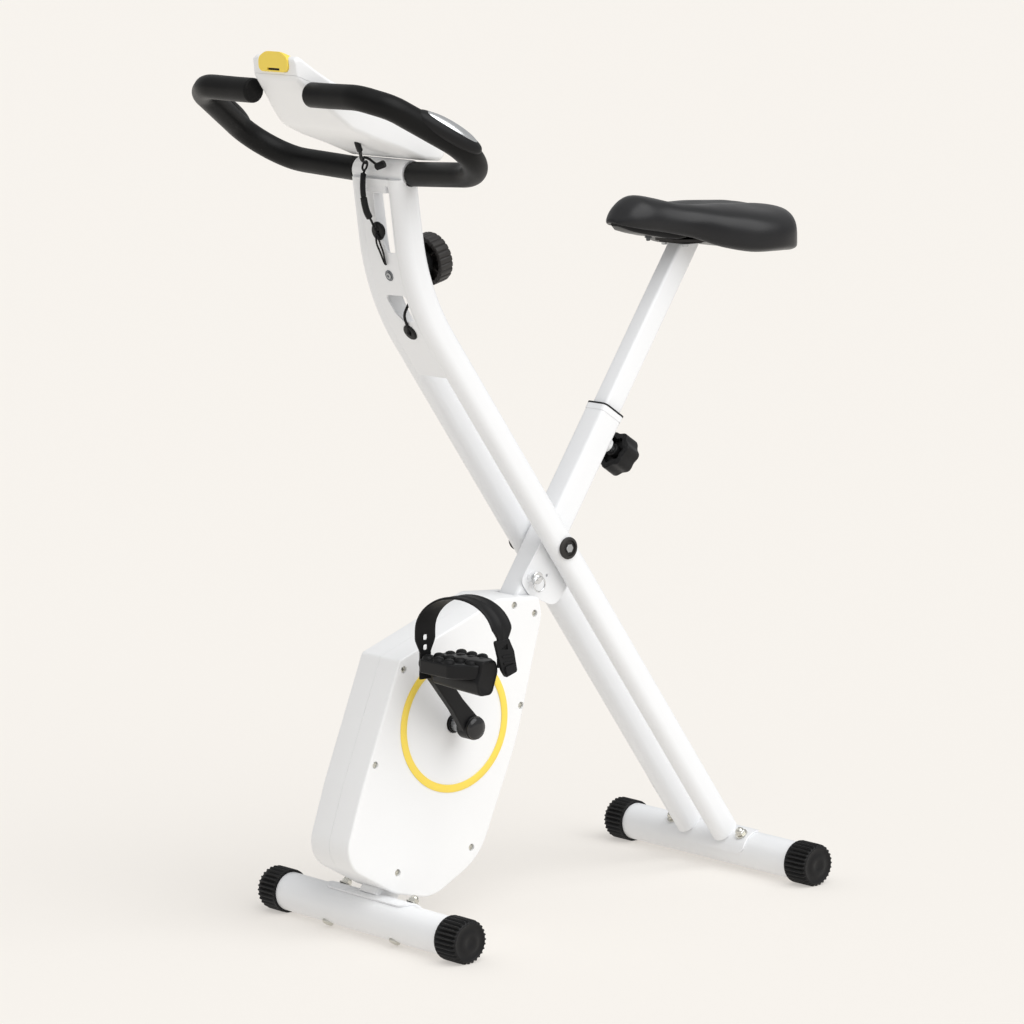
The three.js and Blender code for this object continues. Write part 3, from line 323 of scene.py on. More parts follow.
def smooth_path(knots, steps=10):
    """Catmull-Rom curve through points."""
    knots = [Vector(k) for k in knots]
    padded = [knots[0] * 2 - knots[1], *knots, knots[-1] * 2 - knots[-2]]
    made = []
    for a, b, c, d in zip(padded, padded[1:], padded[2:], padded[3:]):
        for k in range(steps):
            t = k / steps
            made.append(0.5 * (2 * b + (c - a) * t + (2 * a - 5 * b + 4 * c - d) * t * t
                               + (3 * b - a - 3 * c + d) * t ** 3))
    return made + [knots[-1]]


def rounded(corners, steps=6):
    """Closed outline through corners (u, v, radius), each rounded by an arc."""
    made = []
    count = len(corners)
    for i, corner in enumerate(corners):
        here = Vector(corner[:2])
        radius = corner[2] if len(corner) > 2 else 0
        if not radius:
            made.append(here)
            continue
        before = (Vector(corners[i - 1][:2]) - here).normalized()
        after = (Vector(corners[(i + 1) % count][:2]) - here).normalized()
        half = acos(max(-1, min(1, before.dot(after)))) / 2
        centre = here + (before + after).normalized() * radius / sin(half)
        start = here + before * radius / tan(half) - centre
        end = here + after * radius / tan(half) - centre
        a0 = atan2(start.y, start.x)
        turn = (atan2(end.y, end.x) - a0 + pi) % (2 * pi) - pi
        made += [centre + Vector((cos(a), sin(a))) * radius for a in sweep(a0, turn, steps)]
    return made


def prism(outline, near, far, origin=(0, 0, 0), u=Y, v=Z, w=X):
    """An outline in (u, v), made solid from near to far along w."""
    place = [Vector(origin) + u * p[0] + v * p[1] for p in outline]
    return loft([[p + w * near for p in place], [p + w * far for p in place]])


def block(x0, x1, y0, y1, z0, z1):
    return prism([(y0, z0), (y1, z0), (y1, z1), (y0, z1)], x0, x1)


def sided(form, side):
    """A form drawn for the left, or its mirror image for the right (side -1)."""
    points, faces = form
    return form if side > 0 else ([Vector((-p[0], p[1], p[2])) for p in points], faces)


# ---------- pieces ----------
def raw(form, name="form"):
    """A plain object from a form, with its faces turned outward."""
    mesh = bpy.data.meshes.new(name)
    mesh.from_pydata([at(p) for p in form[0]], [], form[1])
    made = bpy.data.objects.new(name, mesh)
    bpy.context.scene.collection.objects.link(made)
    bm = bmesh.new()
    bm.from_mesh(mesh)
    bmesh.ops.recalc_face_normals(bm, faces=bm.faces)
    bm.to_mesh(mesh)
    bm.free()
    return made


def carve(obj, *forms):
    """Takes closed forms away from an object."""
    tools = []
    for form in forms:
        tool = raw(form)
        cut = obj.modifiers.new("cut", "BOOLEAN")
        cut.operation = "DIFFERENCE"
        cut.solver = "EXACT"
        cut.object = tool
        tools.append(tool)
    view = bpy.context.evaluated_depsgraph_get()
    mesh = bpy.data.meshes.new_from_object(obj.evaluated_get(view))
    obj.modifiers.clear()
    obj.data = mesh
    for tool in tools:
        bpy.data.objects.remove(tool)


EDGE_ANGLE = 38  # degrees; a sharper fold than this is an edge


def piece(name, form, look, body, stands_for=None, bevel=0.0, sharp=EDGE_ANGLE, cuts=(), segments=3):
    """A finished piece: its mesh, edges, finish, body and the CAD node that it stands for."""
    obj = raw(form, name)
    if cuts:
        carve(obj, *cuts)
    mesh = obj.data
    mesh.materials.clear()
    mesh.materials.append(look.material)
    mesh.shade_smooth()
    if bevel:
        edge = obj.modifiers.new("edge", "BEVEL")
        edge.width = bevel / 1000
        edge.segments = segments
        edge.limit_method = "ANGLE"
        edge.angle_limit = radians(EDGE_ANGLE)
        normals = obj.modifiers.new("normals", "WEIGHTED_NORMAL")
        normals.keep_sharp = True
    elif sharp:
        mesh.set_sharp_from_angle(angle=radians(sharp))
    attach(obj, body)
    if stands_for:
        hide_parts(stands_for)
    return obj


SIDES = (("left", 1), ("right", -1))


def in_plane(centre, tilt):
    """A member's own (x, across, along) as a point; the member leans by tilt toward +Y as it rises."""
    def place(x, across, along):
        return Vector((x, centre[0] + along * sin(tilt) + across * cos(tilt),
                       centre[1] + along * cos(tilt) - across * sin(tilt)))
    return place


on_leg = in_plane(PIVOT, LEG_TILT)
LOCK = on_leg(0, -13, -57)
LEG_BACK = Vector((0, cos(LEG_TILT), -sin(LEG_TILT)))


def bar_section(width, depth, radius, steps=5):
    return rounded([(-width / 2, -depth / 2, radius), (width / 2, -depth / 2, radius),
                    (width / 2, depth / 2, radius), (-width / 2, depth / 2, radius)], steps)


def leg_pipe(width, depth, radius, wall, low, high):
    """Rounded square pipe along the seat leg. low and high give an end, or its function of across."""
    outer = bar_section(width, depth, radius)
    inner = bar_section(width - 2 * wall, depth - 2 * wall, radius - wall + 1)

    def ring(section, end):
        return [on_leg(x, a, end(a) if callable(end) else end) for x, a in section]

    return loft([ring(outer, low), ring(outer, high), ring(inner, high), ring(inner, low)], closed=True)


# ---------- stabilisers ----------
FRONT, REAR = (0, AXIS_Z), (WHEELBASE, AXIS_Z)


def foot(axis, side):
    """Ribbed end cap with a flat underside."""
    RIBS, GROOVE = 28, 3.6

    def ribs(angle, along):
        # the grooves fade out before the end face and before the rim at the tube
        fade = clamped((-1 - along) / 0.6) * clamped((along + 39.5) / 2)
        return -GROOVE * fade * (0.5 - 0.5 * cos(RIBS * angle)) ** 1.1

    profile = [(-40, TUBE_R + 0.2), (-40, 30.4), (-39.4, 31.2), (-38, FOOT_R), (-30, FOOT_R),
               (-8, FOOT_R), (-4, FOOT_R - 0.3), (-1.7, FOOT_R - 1.1), (-0.9, 27.6), (0, 26.6),
               (0, 25.6), (-0.8, 24.8), (-0.9, 16), (-0.4, 15.2), (-0.4, 7), (-0.9, 6.2), (-0.9, 0)]
    points, faces = turned(profile, (HALF, *axis), X, RIBS * 8, ribs)
    points = [Vector((p.x, p.y, max(p.z, 0))) for p in points]
    return sided((points, faces), side)


def saddle_bracket(axis, tilt):
    """Curved plate with rounded corners over a stabiliser; WRAP is its half angle in degrees."""
    WRAP, WIDE, CORNER, THICK = 58, 88, 14, 3
    radius = TUBE_R + 0.2
    rings = []
    stations = [WIDE - CORNER * (1 - cos(a)) for a in QUARTER]
    for x in [-s for s in stations] + stations[::-1]:
        past = max(0, abs(x) - (WIDE - CORNER))
        short = CORNER - sqrt(max(0, CORNER ** 2 - past ** 2))
        wrap = radians(WRAP) - short / radius
        angles = sweep(pi / 2 - tilt - wrap, 2 * wrap, 24)
        section = [(radius + THICK, a) for a in angles] + [(radius, a) for a in reversed(angles)]
        rings.append([Vector((x, axis[0] + r * cos(a), axis[1] + r * sin(a)))
                      for r, a in section])
    return loft(rings)


def stabiliser_bolt(axis, tilt, side):
    """Washer and dome nut above a stabiliser, and the carriage bolt's head below it."""
    up = Vector((0, sin(tilt), cos(tilt)))
    base = Vector((side * STABILISER_BOLT_X, *axis))
    on_plate = base + up * (TUBE_R + 3.4)
    washer = [(0, 9), (0, 9.6), (1.4, 9.6), (1.6, 9.2), (1.6, 5)]
    hexagon = [(1.6, 7), (2.1, 7.6), (6.4, 7.6), (7, 7)]
    dome = [(6.8, 6.3)] + [(7 + 5.2 * sin(a), 6.1 * cos(a)) for a in QUARTER]
    head = [(-4, 3), (-3.4, 6.4), (-1.4, 8.4), (2, 8.6)]
    return together(turned(washer, on_plate, up), turned(hexagon, on_plate, up, 6),
                    turned(dome, on_plate, up, 32), turned(head, base - up * TUBE_R, up))


for end, axis, tilt, body in (("front", FRONT, LEG_TILT, "front_frame"),
                              ("rear", REAR, -REAR_TILT, "rear_frame")):
    tube = turned([(-HALF + 6, TUBE_R), (HALF - 6, TUBE_R)], (0, *axis), X, 96)
    piece(end + "_cross_tube", tube, WHITE, body, end + "_stabiliser")
    for word, side in SIDES:
        piece(f"{end}_end_cap_{word}", foot(axis, side), BLACK, body, f"{end}_foot_{word}", sharp=50)
        piece(f"{end}_dome_nut_{word}", stabiliser_bolt(axis, tilt, side), ZINC, body,
              f"{end}_bolt_{word}")
piece("front_saddle_plate", saddle_bracket(FRONT, LEG_TILT), WHITE, "front_frame", bevel=0.8)
piece("rear_saddle_plate", saddle_bracket(REAR, -REAR_TILT), WHITE, "rear_frame", "rear_saddle",
      bevel=0.8)

# ---------- seat leg ----------
leg_tube = leg_pipe(40, 43, 6.5, 2, -LEG_LENGTH + 24, LEG_TOP)
crank_shell = pipe([(-22, 18), (22, 18), (22, 14.6), (-22, 14.6)], (0, *CRANK), X)
boss_base = on_leg(0, 20, SEAT_PIN)
pin_boss = pipe([(0, 11), (11.5, 11), (12.5, 10), (12.5, 5.5), (0, 5.5)], boss_base, LEG_BACK, 36)
spacer = pipe([(-22.6, 14), (-19, 14), (-19, 6.6), (-22.6, 6.6)], (0, *PIVOT), X)


def leg_front(along):
    """A point (y, z) just inside the seat leg's front face."""
    point = on_leg(0, -20.5, along)
    return point.y, point.z


shell_web = prism([(113, 275.5), leg_front(-300), leg_front(-235), (119, 308.5)], -14, 14)
fork = [leg_front(-470), leg_front(-395), (6, 171), (-3, 158), (8, 145)]
leg_holes = [turned([(15, 4.6), (25, 4.6)], LOCK, X, 24),
             turned([(-30, 6.5), (30, 6.5)], (0, *PIVOT), X, 24)]
fittings = together(crank_shell, pin_boss, spacer, shell_web, prism(fork, -17, -14), prism(fork, 14, 17))
piece("seat_leg_tube", leg_tube, WHITE, "front_frame", "seat_leg", cuts=leg_holes)
piece("seat_leg_fittings", fittings, WHITE, "front_frame", "seat_leg")
lip = leg_pipe(41.4, 44.4, 7, 2.2, LEG_TOP - 9, LEG_TOP - 0.4)
piece("seat_leg_lip", lip, WHITE, "front_frame", bevel=0.5)
collar = leg_pipe(41.8, 44.8, 7.2, 5, LEG_TOP, LEG_TOP + 2.2)
piece("collar_ring", collar, BLACK, "front_frame", "leg_collar")

# ---------- seat post ----------
PLATE_TOP = 933.7  # z of the steel plate under the saddle


def post_top(across):
    """Where the post's slanting walls meet the plate."""
    return (PLATE_TOP - 1 - PIVOT[1] + across * sin(LEG_TILT)) / cos(LEG_TILT)


pin_holes = [turned([(-6, 5.4), (6, 5.4)], on_leg(0, 17, SEAT_PIN + PIN_STEP * k), LEG_BACK, 24)
             for k in range(-1, 5)]
post = leg_pipe(30, 34, 5, 2, 122, post_top)
piece("seat_post_tube", post, WHITE, "seat", "seat_post", cuts=pin_holes)
plate_outline = rounded([(-30, 572, 8), (30, 572, 8), (30, 645, 8), (-30, 645, 8)])
saddle_plate = prism(plate_outline, PLATE_TOP - 3, PLATE_TOP, u=X, v=Y, w=Z)
piece("saddle_plate", saddle_plate, BLACK, "seat", bevel=0.6)
bolt_profile = [(-7, 0.5), (-7, 4), (-6, 4.6), (-3.2, 4.6), (-3.2, 7), (-2.6, 7.4)]
plate_bolts = [turned(bolt_profile, (x, y, PLATE_TOP), Z, 24) for x in (-22, 22) for y in (580, 636)]
piece("saddle_bolts", together(*plate_bolts), STEEL, "seat")
STUD = (0, 527, 953)
stud = turned([(-16, 2.4), (-15, 3), (4, 3)], STUD, Z, 20)
stud_nut = turned([(-12, 4.6), (-11.4, 5.4), (-7, 5.4), (-6.4, 4.6)], STUD, Z, 6)
piece("saddle_nose_stud", together(stud, stud_nut), IRON, "seat")

# ---------- saddle ----------
# from nose to tail: y, half width, top and underside
SADDLE = [
    (455, 10, 972, 966), (462, 19, 980, 962), (476, 30, 994, 956), (497, 38, 1004, 950),
    (530, 44, 999, 945), (565, 60, 990, 938), (600, 88, 986, 924), (640, 112, 985, 915),
    (680, 119, 983, 914), (715, 112, 981, 914), (736, 92, 979, 915), (750, 68, 976, 916),
    (758, 45, 971, 918),
]


def saddle_cover():
    """Moulded cushion: a crowned loft with a shallow channel down the middle of the seat."""
    AROUND = 72
    CHANNEL, SWELL, DISH = 5.5, 2.0, 9
    stations = smooth_path([(y, half, top) for y, half, top, _ in SADDLE], 5)
    undersides = smooth_path([(y, low) for y, _, _, low in SADDLE], 5)
    rings = []
    for (y, half, top), (_, low) in zip(stations, undersides):
        nose = clamped((600 - y) / 110)
        tail = clamped((y - 700) / 55)
        # the widest line runs low, a little higher at the nose and lower at the tail
        middle = low + (top - low) * (0.3 + 0.06 * nose - 0.14 * tail)
        # a smaller power makes a fuller shoulder or side
        shoulder = 0.66 + 0.42 * nose - 0.26 * tail
        side_power = 0.64 + 0.28 * nose - 0.14 * tail
        # the seat's own length, without its nose and its rear edge
        seat = clamped((y - 530) / 50) * clamped((752 - y) / 40)
        ring = []
        for a in circle(AROUND):
            c, d = cos(a), sin(a)
            x = half * copysign(abs(c) ** side_power, c)
            if d > 0:
                z = middle + (top - middle) * d ** shoulder
                z -= CHANNEL * seat * exp(-(x / 8.5) ** 2) * d
                z += SWELL * seat * exp(-((abs(x) - 42) / 26) ** 2) * d
            else:
                # the underside is dished, with a lip all round
                inside = max(0, 1 - (abs(x) / (half * 0.86)) ** 4)
                z = middle - (middle - low) * abs(d) ** 0.6
                z += min(DISH, (top - low) * 0.2) * inside * min(1, abs(d) * 1.4)
            ring.append(Vector((x, y, z)))
        rings.append(ring)
    return loft(rings)


def saddle_pan():
    """Plastic pan that closes the nose from below and runs back over the seat post."""
    stations = [(462, 9, 968, 962), (480, 22, 968, 954), (505, 30, 965, 948), (535, 34, 958, 942),
                (556, 36, 954, 940), (566, 40, 952, 942)]
    rings = []
    for y, half, top, low in stations:
        outline = rounded([(-half, low, 3), (half, low, 3), (half, top, 3), (-half, top, 3)])
        rings.append([Vector((p.x, y, p.y)) for p in outline])
    return loft(rings)


piece("saddle_pan", saddle_pan(), BLACK, "seat")
saddle = piece("saddle_cover", saddle_cover(), VINYL, "seat", "saddle", sharp=0)


# ---------- seat knob ----------
def knob(base, axis, radius, height, lobes, depth, hollow, sides=120, power=1.0, wall=5):
    """Lobed or fluted knob, open on its base side to the depth hollow."""
    def wave(angle, along):
        return -depth * (0.5 - 0.5 * cos(lobes * angle)) ** power

    r = radius
    inside = [(hollow, 0), (hollow, r - wall - depth), (0, r - wall - depth), (0, r - 2)]
    outside = [(0.4, r - 0.8), (1.2, r), (height - 4, r), (height - 1.6, r - 1), (height - 0.4, r - 3),
               (height, r - 5.5), (height, r * 0.55), (height - 0.8, r * 0.5), (height - 0.8, 0)]
    return turned(inside + outside, base, axis, sides, wave)


knob_base = on_leg(0, 43.5, SEAT_PIN)
seat_knob = knob(knob_base, LEG_BACK, 30, 29, 7, 3.6, hollow=9)
knob_hub = turned([(-1, 8.5), (0, 9.5), (12, 9.5)], knob_base, LEG_BACK, 32)
piece("seat_knob_grip", together(seat_knob, knob_hub), BLACK, "seat_knob", "seat_knob", sharp=42)

# ---------- shroud ----------
# the side view's corners (y, z, radius), and where its screws are
SHROUD = rounded([
    (23, 393, 8), (-45, 222, 240), (-80, 118, 44), (14, 64, 60), (80, 47, 60), (168, 92, 95),
    (238, 250, 500), (286, 425, 30), (280, 452, 8), (205, 458, 30),
], 14)
SCREWS = [(30, 379), (-22, 252), (17, 94), (152, 109), (233, 445), (271, 429), (245, 300)]


def inset(outline, distance):
    """An outline moved inward by a distance."""
    made = []
    for i, p in enumerate(outline):
        before = (p - outline[i - 1]).normalized()
        after = (outline[(i + 1) % len(outline)] - p).normalized()
        inward = Vector((-before.y - after.y, before.x + after.x)).normalized()
        made.append(p + inward * distance / max(0.3, -inward.x * after.y + inward.y * after.x))
    return made


def shroud_shell(side):
    """One moulded half, hollow, with a rolled outer edge."""
    ROLL, WALL, SEAM = 3.2, 2.5, 0.2
    rings = [[Vector((SEAM, *p)) for p in SHROUD]]
    for a in sweep(0, pi / 2, 5):
        outline = inset(SHROUD, ROLL * (1 - cos(a)))
        rings.append([Vector((SHROUD_HALF - ROLL + ROLL * sin(a), *p)) for p in outline])
    face = len(rings) - 1
    core = inset(SHROUD, WALL)
    for x, outline in ((SHROUD_HALF - 3, inset(SHROUD, 6)), (SHROUD_HALF - 6, core), (SEAM, core)):
        rings.append([Vector((x, *p)) for p in outline])
    # the wall must not join the outer face to the inner one, so each gets its own cap
    sides = len(SHROUD)
    points, faces = loft(rings, closed=True)
    faces = faces[:face * sides] + faces[(face + 1) * sides:]
    for ring in (face, face + 1):
        faces.append(tuple(range(ring * sides, (ring + 1) * sides)))
    return sided((points, faces), side)


def leg_block(width, depth, radius, low):
    return loft([[on_leg(x, a, s) for x, a in bar_section(width, depth, radius)] for s in (low, LEG_TOP)])


shroud_room = [leg_block(42, 45, 6, -LEG_LENGTH + 10), leg_block(46.4, 51, 2, -125),
               turned([(-100, TUBE_R + 4), (100, TUBE_R + 4)], (0, *FRONT), X, 96),
               turned([(-60, 14), (60, 14)], (0, *CRANK), X)]


def at_screws(make, profile, side, sides=24):
    """A turned form or pipe at each of one half's screws."""
    return [sided(make(profile, (0, *place), X, sides), side) for place in SCREWS]


well_hole = [(30, 5.2), (60, 5.2)]
well_wall = [(30, 6.4), (41, 6.4), (41, 5.2), (37, 5), (37, 0.5), (30, 0.5)]
screw_head = [(37.1, 4.7), (38.8, 4.7), (39.8, 3.7), (40, 2.6), (38.8, 2), (38.8, 0)]
ring_section = [(42.2, 87), (43.1, 87), (43.5, 87.5), (43.5, 97.5), (43.1, 98), (42.2, 98)]
for word, side in SIDES:
    piece("shroud_shell_" + word, shroud_shell(side), SHELL, "front_frame", "shroud_" + word,
          cuts=shroud_room + at_screws(turned, well_hole, side, 28), sharp=35)
    wells = together(*at_screws(pipe, well_wall, side))
    piece("shroud_screw_wells_" + word, wells, SHELL, "front_frame")
    heads = together(*at_screws(turned, screw_head, side))
    piece("shroud_screws_" + word, heads, ZINC, "front_frame")
    ring = pipe(ring_section, (0, *CRANK), X, 144)
    piece("yellow_ring_" + word, sided(ring, side), YELLOW, "front_frame", "ring_" + word, sharp=50)

# ---------- crank ----------
PEDAL = {word: (CRANK[0] - side * CRANK_LENGTH * sin(CRANK_TILT),
                CRANK[1] + side * CRANK_LENGTH * cos(CRANK_TILT)) for word, side in SIDES}


def crank_arm(word, side):
    """Flat tapered blade from the axle's boss to the pedal's eye."""
    HUB_R, EYE_R, NEAR, FAR = 16, 12.2, 70, 84
    reach = (Vector((0, *PEDAL[word])) - Vector((0, *CRANK))).normalized()
    hub = [(HUB_R * cos(a), HUB_R * sin(a)) for a in sweep(pi / 2, pi, 24)]
    eye = [(CRANK_LENGTH + EYE_R * cos(a), EYE_R * sin(a)) for a in sweep(-pi / 2, pi, 20)]
    blade = hub + [(45, -11.6)] + eye + [(45, 11.6)]
    low, high = (NEAR, FAR) if side > 0 else (-FAR, -NEAR)
    return prism(blade, low, high, (0, *CRANK), reach, X.cross(reach), X)


def flutes(angle, along):
    return -0.7 * (0.5 - 0.5 * cos(18 * angle))


boss = turned([(65, 12), (65, 15.6), (66.4, 17), (86.6, 17), (88, 15.8), (88, 12)], (0, *CRANK), X, 64)
cap = turned([(87.6, 16), (88.6, 16.2), (89.6, 15.8), (90, 14.4), (91.4, 12.5), (92.4, 9), (93, 5),
              (93.1, 0)], (0, *CRANK), X, 64)
seal = turned([(41.8, 12.5), (44.6, 12.5), (45.4, 11.8), (45.4, 8)], (0, *CRANK), X)
sleeve = turned([(45.4, 8), (45.4, 10.2), (46.2, 10.9), (64.6, 10.9), (65, 10.4)], (0, *CRANK), X, 144,
                flutes)
for word, side in SIDES:
    pedal = (0, *PEDAL[word])
    collar = turned([(84, 9), (84, 9.6), (91.4, 9.6), (92, 9)], pedal, X, 6)
    spindle = turned([(84, 6), (188, 6)], pedal, X, 24)
    piece("crank_blade_" + word, crank_arm(word, side), BLACK, "crank", "crank_arm_" + word, bevel=2.6,
          segments=4)
    piece("crank_boss_" + word, sided(boss, side), BLACK, "crank")
    piece("pedal_spindle_" + word, sided(together(collar, spindle), side), STEEL, "crank")
    piece("crank_cover_" + word, sided(cap, side), GLOSSY, "crank", "crank_cap_" + word)
    piece("crank_seal_" + word, sided(seal, side), BLACK, "crank")
    piece("crank_sleeve_" + word, sided(sleeve, side), STEEL, "crank")


# ---------- pedals ----------
# A left pedal is drawn round its spindle, along x; on_pedal() puts it in its place.
def pedal_deck():
    outline = [(103, -39, 5), (166, -39, 16), (196, -14, 14), (198, 14, 12), (168, 39, 14),
               (103, 39, 5)]
    return prism(rounded(outline), -5, 15, u=X, v=Y, w=Z)


def pedal_housing():
    """Rounded belly round the spindle, with a sunk face at its outer end."""
    section = rounded([(-9, 20, 6), (16, 21, 9), (20, 4, 14), (9, -27.5, 9), (-14, -27.5, 8),
                       (-17.5, -10, 12), (-11, 6, 10)], 8)
    # x, and the section's scale across and upward
    stations = [(103, 0.9, 0.8), (106, 1, 0.86), (150, 1, 0.94), (198, 1, 1), (200.6, 0.99, 0.99),
                (201.6, 0.94, 0.96), (201.6, 0.86, 0.9), (200.6, 0.83, 0.88)]
    return loft([[Vector((x, a * across, b * up)) for a, b in section] for x, across, up in stations])


def pedal_studs():
    """Four rows of domed studs, without the deck's two cut corners."""
    profile = [(14, 8.2), (17.5, 7.6), (19.6, 5.8), (20.6, 3), (20.8, 0)]
    return together(*[turned(profile, (x, across, 0), Z, 20) for x in (113, 135, 157, 179)
                      for across in (-30, -10, 10, 30) if x < 160 or abs(across) < 25])


def strap_band():
    """Arched foot strap with raised ribs and narrow tabs."""
    SKEW, X0, X1 = 23, 98.5, 207
    middle, half = (X0 + X1) / 2, (X1 - X0) / 2
    arch = [(middle + half * cos(a), SKEW * cos(a), 52 + 50 * sin(a)) for a in sweep(pi, -pi, 24)]
    line = resampled([(X0, -SKEW, -14), (X0, -SKEW, 8), (X0, -SKEW, 30), *arch, (X1, SKEW, 30),
                      (X1, SKEW, 10)], 4)
    # share of the width, and height over the band's middle
    section = [(-1, -1.3), (-1, 1.1), (-0.86, 2.1), (-0.72, 1.3), (-0.16, 1.3), (-0.08, 2.0),
               (0.08, 2.0), (0.16, 1.3), (0.72, 1.3), (0.86, 2.1), (1, 1.1), (1, -1.3)]
    rings = []
    for i, p in enumerate(line):
        along = heading(line, i)
        along.y = 0
        along.normalize()
        out = along.cross(Y) * -1
        if out.dot(p - Vector((middle, p.y, 40))) < 0:
            out.negate()
        t = i / (len(line) - 1)
        wide = 9.5 + 8 * clamped((t - 0.13) / 0.06) * clamped((0.86 - t) / 0.05)
        rings.append([p + Y * v * wide + out * h for v, h in section])
    return loft(rings)


def leaning(form):
    """A buckle's form, tilted so that its lower end stands away from the pedal."""
    return [Vector((p.x + 0.16 * (50 - p.z) - 3, p.y, p.z)) for p in form[0]], form[1]


def on_pedal(form, word, side):
    spindle = Vector((0, *PEDAL[word]))
    return sided(([p + spindle for p in form[0]], form[1]), side)


slots = [prism(rounded([(-27, h - 4, 2.5), (-19, h - 4, 2.5), (-19, h + 4, 2.5), (-27, h + 4, 2.5)]),
               90, 110) for h in (28, 42)]
buckle = rounded([(8, 47, 3), (33, 49, 3), (40, 31, 6), (42, 3, 4), (21, -3, 3), (15, 7, 4),
                  (11, 28, 6)])
gap = prism([(17, 36), (29, 42), (29, 34)], 190, 225)
teeth = [block(211.4, 213.4, 17 + k, 38 + k, 24 - 9 * k, 27 - 9 * k) for k in range(3)]
roller = prism(rounded([(20, 1, 3), (38, 5, 3), (38, 15, 3), (19, 12, 3)]), 211, 215)
hook = block(96.5, 100.5, -32.5, -13.5, -16, -4)
for word, side in SIDES:
    body = "pedal_" + word
    piece("pedal_deck_" + word, on_pedal(pedal_deck(), word, side), BLACK, body, "pedal_" + word,
          bevel=3, segments=4)
    piece("pedal_housing_" + word, on_pedal(pedal_housing(), word, side), BLACK, body, sharp=60)
    piece("pedal_studs_" + word, on_pedal(pedal_studs(), word, side), RUBBER, body)
    piece("pedal_strap_band_" + word, on_pedal(strap_band(), word, side), RUBBER, body,
          "pedal_strap_" + word, cuts=[on_pedal(slot, word, side) for slot in slots], sharp=60)
    piece("strap_buckle_" + word, on_pedal(leaning(prism(buckle, 206, 212)), word, side), BLACK, body,
          bevel=1, cuts=[on_pedal(gap, word, side)])
    piece("strap_teeth_" + word, on_pedal(leaning(together(*teeth, roller)), word, side), RUBBER,
          body, bevel=0.6)
    piece("strap_hook_" + word, on_pedal(hook, word, side), BLACK, body, bevel=0.8)

# ---------- rear frame ----------
BEND_Z, BEND_R, TOP_TILT = 830, 328, radians(8)
TUBE_X = 38


def tube_line(steps=20):
    """Middle line of a side tube in (y, z): straight, bent, and straight up to the sleeve."""
    from_axis = TUBE_R + 2.5
    start = in_plane(PIVOT, -REAR_TILT)(0, 0, from_axis - REAR_LENGTH)
    bend = Vector((PIVOT[0] - (BEND_Z - PIVOT[1]) * tan(REAR_TILT), BEND_Z))
    made = [Vector((start.y, start.z)), bend]
    for a in sweep(REAR_TILT, TOP_TILT - REAR_TILT, steps)[1:]:
        turn = Vector((cos(REAR_TILT) - cos(a), sin(REAR_TILT) - sin(a)))
        made.append(bend + turn * BEND_R)
    last = made[-1]
    top = SLEEVE[1] - 6
    made.append(Vector((last.x - (top - last.y) * tan(TOP_TILT), top)))
    return made


LINE = tube_line()
NORMALS = [Vector((t.y, -t.x)) for t in (heading(LINE, i) for i in range(len(LINE)))]


def oval(depth, width, steps=14):
    """Section with two straight sides and round ends."""
    r, straight = width / 2, depth / 2 - width / 2
    return [(sign * (straight + r * sin(a)), sign * r * cos(a)) for sign in (1, -1)
            for a in sweep(0, pi, steps)]


for word, side in SIDES:
    rings = [[Vector((side * TUBE_X + x, p.x + n.x * a, p.y + n.y * a)) for a, x in oval(42, 30)]
             for p, n in zip(LINE, NORMALS)]
    piece("side_tube_" + word, loft(rings), WHITE, "rear_frame", "rear_tube_" + word)

# the web starts a little below the bend, on the tubes' straight part
WEB_LOW = 786
WEB_HALF = 33
WEB_FRONT, WEB_BACK = -19, -16  # offsets from the tubes' middle line
low_share = (WEB_LOW - LINE[0].y) / (LINE[1].y - LINE[0].y)
web_line, web_normals = [LINE[0].lerp(LINE[1], low_share), *LINE[1:]], [NORMALS[0], *NORMALS[1:]]


def web_edge(across):
    """The web's line in (y, z), moved across its own direction."""
    return [p + n * across for p, n in zip(web_line, web_normals)]


web = prism(web_edge(WEB_FRONT) + web_edge(WEB_BACK)[::-1], -WEB_HALF, WEB_HALF)


def window(corners, radius=4):
    """Opening through the web, seen from the front: corners are (x, z)."""
    return prism(rounded([(x, z, radius) for x, z in corners]), -60, 80, u=X, v=Z, w=Y)


windows = [window([(-5, 1046), (-5, 985), (3, 972), (13, 954), (28.5, 954), (29.5, 1046)]),
           window([(-16, 893), (28, 894), (28, 858), (6, 855), (-7, 867)], 5),
           window([(-31.5, 760), (-31.5, 786), (-22, 802), (-8, 809), (8, 809), (22, 802), (31.5, 786),
                   (31.5, 760)], 6)]
piece("front_web", web, WHITE, "rear_frame", "post_web", cuts=windows, bevel=0.6)
sleeve = pipe([(-53, 17.7), (-52.2, 18.5), (52.2, 18.5), (53, 17.7), (53, 14), (-53, 14)],
              (0, *SLEEVE), X, 72)
piece("bar_sleeve", sleeve, WHITE, "rear_frame")
piece("sleeve_gusset", block(-22.7, 22.7, 17, 49, 1036, 1053), WHITE, "rear_frame", bevel=1)

